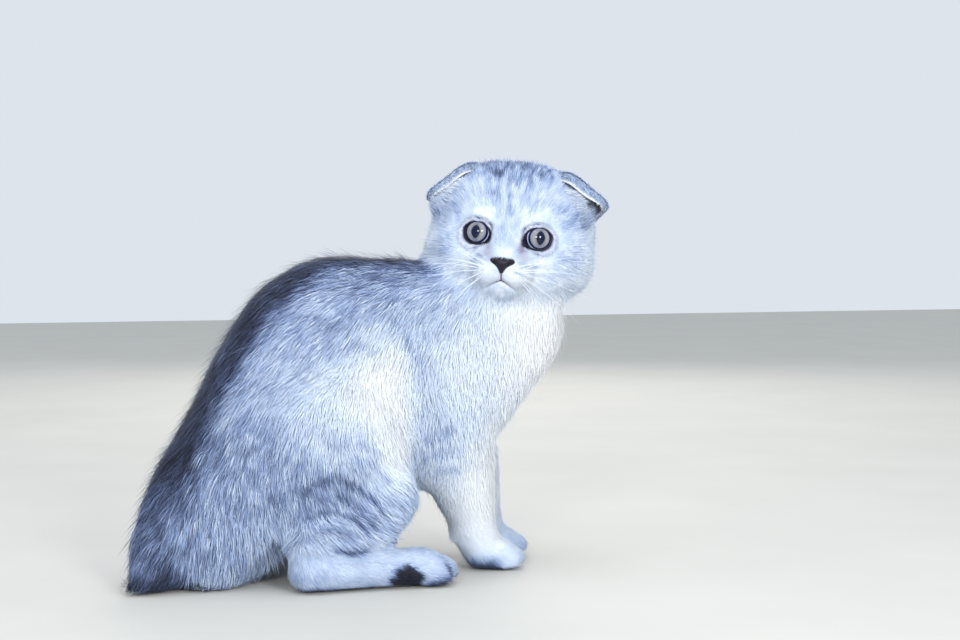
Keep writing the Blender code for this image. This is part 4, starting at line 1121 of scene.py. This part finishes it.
def tube(path, radii, sides=8):
    """A round strand: rings square to a path, each of its own radius, closed at both ends."""
    path, radii = np.asarray(path, float), np.asarray(radii, float)
    along = unit(np.gradient(path, axis=0))
    side = unit(np.cross(along, (0.23, 0.31, 0.92)))
    other = np.cross(along, side)
    angle = np.linspace(0, math.tau, sides, endpoint=False)
    ring = np.cos(angle)[None, :, None] * side[:, None] + np.sin(angle)[None, :, None] * other[:, None]
    spots = (path[:, None] + ring * radii[:, None, None]).reshape(-1, 3)
    spots = np.concatenate([spots, path[:1], path[-1:]])
    number = np.arange(len(path) * sides).reshape(-1, sides)
    after = np.roll(number, -1, axis=1)
    quads = np.stack([number[:-1], after[:-1], after[1:], number[1:]], axis=-1).reshape(-1, 4)
    low = np.stack([after[0], number[0], np.full(sides, len(spots) - 2)], axis=-1)
    high = np.stack([number[-1], after[-1], np.full(sides, len(spots) - 1)], axis=-1)
    return spots, quads, np.concatenate([low, high])


def joined(name, parts):
    """Several strands as one mesh."""
    base, spots, quads, caps = 0, [], [], []
    for points, some_quads, some_caps in parts:
        spots.append(points)
        quads.append(some_quads + base)
        caps.append(some_caps + base)
        base += len(points)
    return mesh_object(name, np.concatenate(spots), [np.concatenate(quads), np.concatenate(caps)])


# Lip skin: thin and moist, mauve where it is bare, with a soft shine
lip_skin = mottled_paint("lip_skin", "lip_colour", 0.8 * MM, 3.0, 0.75, 1.2, Roughness=0.45, IOR=1.4)

lip_parts = []
spread = np.linspace(-1, 1, 41)
lip_levels = MOUTH_LEVEL - MOUTH_DROP * np.abs(spread) ** MOUTH_CURVE
lip_line = [(on_face(MOUTH_HALF_WIDTH * t, up) + 0.10 * MM, MOUTH_HALF_WIDTH * t, up)
            for t, up in zip(spread, lip_levels)]
lip_parts.append(tube(from_head(lip_line), 0.34 * MM * (1.03 - np.abs(spread) ** 0.9)))
cleft_line = [(on_face(0.0, up) + 0.1 * MM, 0.0, up)
              for up in np.linspace(-15.5 * MM, MOUTH_LEVEL - 0.2 * MM, 14)]
lip_parts.append(tube(from_head(cleft_line), np.full(14, 0.30 * MM)))
lip_edge = joined("lip_edge", lip_parts)
lip_spots = to_head(places_of(lip_edge.data))
far = smooth(0.5 * MM, 0.8 * MOUTH_HALF_WIDTH, np.abs(lip_spots[:, 1]))
add_colours(lip_edge, tinted(linear("#241b30"), "#8f9abc", far), "lip_colour")
lip_edge.data.materials.append(lip_skin)
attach(lip_edge, "root")

# Folded ears. Thin gristle between two skins, folded forward and down over the opening: slate
# velvet behind, a white fringed edge and paler bare skin inside. They grow from the skull.
EAR_ROOT_LINE = ((-12, 17, 34), (-14, 26, 31), (-14, 34, 24), (-11, 38, 15), (-6, 37, 8))
EAR_CREST_LINE = ((-3, 18, 36.5), (-2, 27, 36.9), (0, 36.4, 30.4), (4, 45.6, 20.3), (-3, 38, 13))
EAR_EDGE_LINE = ((6, 19, 34), (13, 27, 32), (15, 35.7, 25.4), (8, 44.9, 19.1), (1, 37.5, 13))
EAR_PIVOT = np.array((0, 25, 36.4)) * MM
EAR_TILT = math.radians(6)
EAR_ACROSS, EAR_OVER = 61, 41
EAR_HALF_THICKNESS = 0.8 * MM
VELVET_TUFTS, FRINGE_TUFTS, WISPS = 4600, 700, 2400


def ear_sheet(side):
    """Middle sheet of an ear: from each place of the root line a parabola runs through the
    crest line to the edge line, and the left ear is carried a little higher than the right.
    Gives places, outward normals and the way over the ear, in the model's axes."""
    root, crest, edge = (through(line, EAR_ACROSS) * MM for line in
                         (EAR_ROOT_LINE, EAR_CREST_LINE, EAR_EDGE_LINE))
    pull = 2 * crest - (root + edge) / 2
    t = np.linspace(0, 1, EAR_OVER)[:, None, None]
    sheet = (1 - t) ** 2 * root + 2 * t * (1 - t) * pull + t ** 2 * edge
    pivot = EAR_PIVOT * (1, side, 1)
    turn = np.array(((1, 0, 0), (0, math.cos(EAR_TILT), -math.sin(EAR_TILT)),
                     (0, math.sin(EAR_TILT), math.cos(EAR_TILT))))
    sheet = (sheet * (1, side, 1) - pivot) @ turn.T + pivot
    sheet = from_head(sheet.reshape(-1, 3)).reshape(EAR_OVER, EAR_ACROSS, 3)
    over, across = np.gradient(sheet, axis=0), np.gradient(sheet, axis=1)
    return sheet, unit(np.cross(over, across) * side), unit(over)


def ear_tone(over):
    """Slate-blue behind, darkest by the crest, and white along the free edge."""
    tone = 0.31 + 0.08 * smooth(0.6, 0.2, over) + 0.05 * bell((over - 0.5) / 0.25)
    return tone + (0.02 - tone) * smooth(0.93, 0.97, over)


# Ear skin: thin, matt and downy, so that it catches a little light at its edge
ear_skin = rough_paint("ear_skin", "coat_colour", 0.4 * MM, 0.2 * MM, detail=4.0, Roughness=0.7, IOR=1.4,
                       Sheen_Weight=0.2)

for side, name in ((1, "left"), (-1, "right")):
    sheet, out, over = ear_sheet(side)
    v = np.repeat(np.linspace(0, 1, EAR_OVER)[:, None], EAR_ACROSS, axis=1)
    half = EAR_HALF_THICKNESS * (1 - 0.75 * smooth(0.8, 1.0, v))[..., None]
    outer, inner = (sheet + out * half).reshape(-1, 3), (sheet - out * half).reshape(-1, 3)
    number = np.arange(EAR_OVER * EAR_ACROSS).reshape(EAR_OVER, EAR_ACROSS)
    quads = np.stack([number[:-1, :-1], number[:-1, 1:], number[1:, 1:], number[1:, :-1]], -1).reshape(-1, 4)
    count = number.size
    rim = np.concatenate([number[0], number[1:, -1], number[-1, -2::-1], number[-2:0:-1, 0]])
    rim_after = np.roll(rim, -1)
    walls = np.stack([rim, rim + count, rim_after + count, rim_after], axis=-1)
    faces = np.concatenate([quads, quads[:, ::-1] + count, walls])
    faces = faces[:, ::-1] if side > 0 else faces
    ear = mesh_object(name + "_folded_ear", np.concatenate([outer, inner]), faces)
    tone = ear_tone(v).ravel()
    # The inner skin is painted darker towards the root, deep under the fold: painted shade
    inside = linear("#8f90b2") * (1 - 0.35 * smooth(0.9, 0.3, v.ravel()))[:, None]
    add_colours(ear, np.concatenate([coat_colour(tone), inside]))
    ear.data.materials.append(ear_skin)
    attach(ear, "root")
    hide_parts(name + "_ear")

    # Velvet of the ear: short hair from the root over the crest to the edge, with a white fringe
    count = VELVET_TUFTS
    draw = random.random((2, count))
    draw[0] = np.where(np.arange(count) < FRINGE_TUFTS, 0.93 + 0.07 * draw[0], draw[0])
    row, col = (draw[0] * (EAR_OVER - 1)), (draw[1] * (EAR_ACROSS - 1))
    r, c = row.astype(int), col.astype(int)
    root, outward, way = (sheet + out * half)[r, c], out[r, c], over[r, c]
    jitter = random.normal(0, 0.25 * MM, root.shape)
    root = root + laid_on(jitter, outward)
    length = np.where(draw[0] > 0.92, 2.4, 3.5) * MM * random.uniform(0.6, 1.25, count)
    length = length * (0.45 + 0.55 * smooth(1.0, 0.86, draw[0]) + 0.55 * smooth(0.95, 1.0, draw[0]))
    tone = ear_tone(draw[0]) + random.normal(0, 0.09, count)
    # Roots painted darker than the tips: painted shade among the hair
    velvet = tuft_mesh(name + "_ear_velvet", root, outward, way, length,
                       0.34 * MM * random.uniform(0.8, 1.2, count),
                       np.radians(random.normal(27, 9, count)),
                       np.radians(random.normal(2, 6, count)) - 0.10 * (draw[0] < 0.8),
                       coat_colour(tone + 0.04), coat_colour(tone - 0.03), 0.02 + 0.96 * draw.T[:, ::-1],
                       bent=False, round_share=None)
    velvet.data.materials.append(silver_hair)
    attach(velvet, "root")

    # Hair at the ear's mouth: long soft wisps from the skull that lie over the opening
    count = WISPS
    along, off = random.uniform(0, 1.15, count), random.uniform(-1, 1, (3, count))
    left, up = 24.0 + 11.0 * along + 2.5 * off[0], 26.5 - 15.0 * along + 2.5 * off[1]
    left += 3.0 * np.sin(along * math.pi / 1.15)
    up += side * (left - 25.0) * math.tan(EAR_TILT)
    seat = np.array([(on_face(l * side * MM, u * MM), l * side * MM, u * MM) for l, u in zip(left, up)])
    seat[:, 0] = np.clip(seat[:, 0], 2 * MM, 13 * MM) - 0.3 * MM
    lie = unit(np.stack([0.05 + 0.12 * off[2], (0.95 - 0.45 * along) * side, 0.05 + 0.40 * along], axis=1)
               + random.normal(0, 0.12, (count, 3)))
    shade = 0.19 + 0.16 * along ** 2 + 0.06 * random.normal(size=count) + 0.18 * (random.random(count) < 0.2)
    facing = np.tile(np.array((1.0, 0.15 * side, 0.15)), (count, 1))
    facing = unit(laid_on(facing, lie))
    # Roots painted darker than the tips: painted shade among the hair
    wisps = tuft_mesh(name + "_inner_ear_hair", from_head(seat), facing @ HEAD_AXES, lie @ HEAD_AXES,
                      random.uniform(4.5, 9.0, count) * MM, random.uniform(0.24, 0.38, count) * MM,
                      np.radians(random.normal(14, 8, count)), np.radians(random.normal(2, 6, count)),
                      coat_colour(shade + 0.03),
                      coat_colour(shade - 0.05), 0.02 + 0.96 * random.random((count, 2)),
                      round_share=0.25)
    wisps.data.materials.append(silver_hair)
    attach(wisps, "root")

# Whiskers. Stiff white hairs, thick at the root and tapering to nothing, that stand in rows
# from the whisker pads and arch down past the cheeks, with a few finer ones over each eye.
# Each row: root left and up on the face, then the tip's forward, left and up
WHISKERS = (
    (8.0, -13.0, 30, 31, -7), (9.5, -14.8, 27, 41, -14), (10.5, -16.5, 24, 49, -28),
    (11.0, -18.2, 22, 46, -42), (9.5, -19.8, 20, 38, -50), (8.0, -15.0, 31, 26, -13),
    (12.0, -15.5, 20, 48, -18), (8.6, -18.0, 25, 31, -42), (10.8, -14.0, 24, 38, -4),
)
BROW_HAIRS = ((10, 13.5, 24, 13, 27), (12.5, 14.0, 22, 17, 29), (15, 13.6, 20, 22, 27))


def clouded(name, size, detail, low, high, **settings):
    """A material of two shades that run into each other in soft clouds of one size."""
    made, tree, shader = new_material(name, **settings)
    coords = add_node(tree, "ShaderNodeTexCoord")
    cloud = add_node(tree, "ShaderNodeTexNoise", [("Vector", coords.outputs["Object"])],
                     Scale=1 / size, Detail=detail)
    tint = add_node(tree, "ShaderNodeValToRGB", [("Fac", cloud.outputs["Fac"])])
    for end, shade in zip(tint.color_ramp.elements, (low, high)):
        end.color = (*linear(shade), 1)
    tree.links.new(tint.outputs["Color"], shader.inputs["Base Color"])
    return made


# Whisker keratin: smooth pale horn with a slight gloss
horn = clouded("whisker_keratin", 9 * MM, 2.0, "#f2f6fb", "#d4dcea", Roughness=0.35, IOR=1.55)

strands = []
for rows, thick, sag in ((WHISKERS, 0.115, 0.10), (BROW_HAIRS, 0.08, -0.08)):
    for side in (1, -1):
        for left, up, tip_f, tip_l, tip_u in rows:
            root = np.array((on_face(left * side * MM, up * MM) / MM - 0.6, left * side, up))
            tip = np.array((tip_f, tip_l * side, tip_u)) + random.normal(0, 1.2, 3)
            middle = (root + tip) / 2
            middle[0] += 0.20 * np.linalg.norm(tip - root)
            middle[2] += sag * np.linalg.norm(tip - root)
            t = np.linspace(0, 1, 22)[:, None]
            path = ((1 - t) ** 2 * root + 2 * t * (1 - t) * middle + t ** 2 * tip) * MM
            strands.append(tube(from_head(path), thick * MM * (1.03 - t[:, 0] ** 1.4), sides=6))
whiskers = joined("whiskers", strands)
whiskers.data.materials.append(horn)
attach(whiskers, "root")

# Studio. A plain pale floor, two soft lights in front, one above and one behind, and a pale
# surround. The camera stands where the kitten is seen from its right and a little behind.
FLOOR_SIZE = 6.0
FLOOR_CLOUDS = 1 / 9
floor_places = np.array(((-1, -1, 0), (1, -1, 0), (1, 1, 0), (-1, 1, 0))) * FLOOR_SIZE / 2
floor = mesh_object("floor", floor_places - (0, 0, 0.2 * MM), np.array([(0, 1, 2, 3)]))
# Matt floor paint: rolled on, with faint clouds
floor_paint = clouded("matt_floor_paint", FLOOR_CLOUDS, 4.0, "#bdbcb6", "#c8c7c1", Roughness=0.7)
floor.data.materials.append(floor_paint)


def soft_light(name, place, size, power, colour):
    """A round light at a place, turned towards the middle of the kitten."""
    data = bpy.data.lights.new(name, "AREA")
    data.shape = "DISK"
    data.size, data.energy, data.color = size, power, tuple(linear(colour))
    lamp = bpy.data.objects.new(name, data)
    lamp.location = place
    lamp.rotation_euler = (Vector((0, 0, 0.1)) - Vector(place)).to_track_quat("-Z", "Y").to_euler()
    bpy.context.scene.collection.objects.link(lamp)


soft_light("key", (0.13, -1.33, 0.50), 0.32, 9.6, "#ffffff")
soft_light("second_key", (-0.59, -1.13, 0.50), 0.32, 6.9, "#ffffff")
soft_light("top", (-0.15, -0.2, 1.5), 1.4, 9.0, "#f4f8ff")
soft_light("back", (0.5, 1.2, 0.8), 0.9, 6.0, "#fff8f0")
world = bpy.data.worlds.new("surround")
world.use_nodes = True
sky = world.node_tree.nodes["Background"]
sky.inputs["Color"].default_value = (*linear("#dfe6ee"), 1)
sky.inputs["Strength"].default_value = 0.98
bpy.context.scene.world = world
bpy.context.scene.view_settings.view_transform = "Standard"

# The horizon lies 80 pixels above the middle of the picture, which is 1850 pixels away
camera_data = bpy.data.cameras.new("camera")
camera_data.lens = 69.375
camera_data.sensor_width = 36.0
camera_data.clip_start, camera_data.clip_end = 0.05, 20.0
camera = bpy.data.objects.new("camera", camera_data)
camera.location = (-0.26815, -0.9235, 0.172)
camera.rotation_euler = (math.pi / 2 - math.atan(80 / 1850), 0.0, math.radians(-20.0))
bpy.context.scene.collection.objects.link(camera)
bpy.context.scene.camera = camera
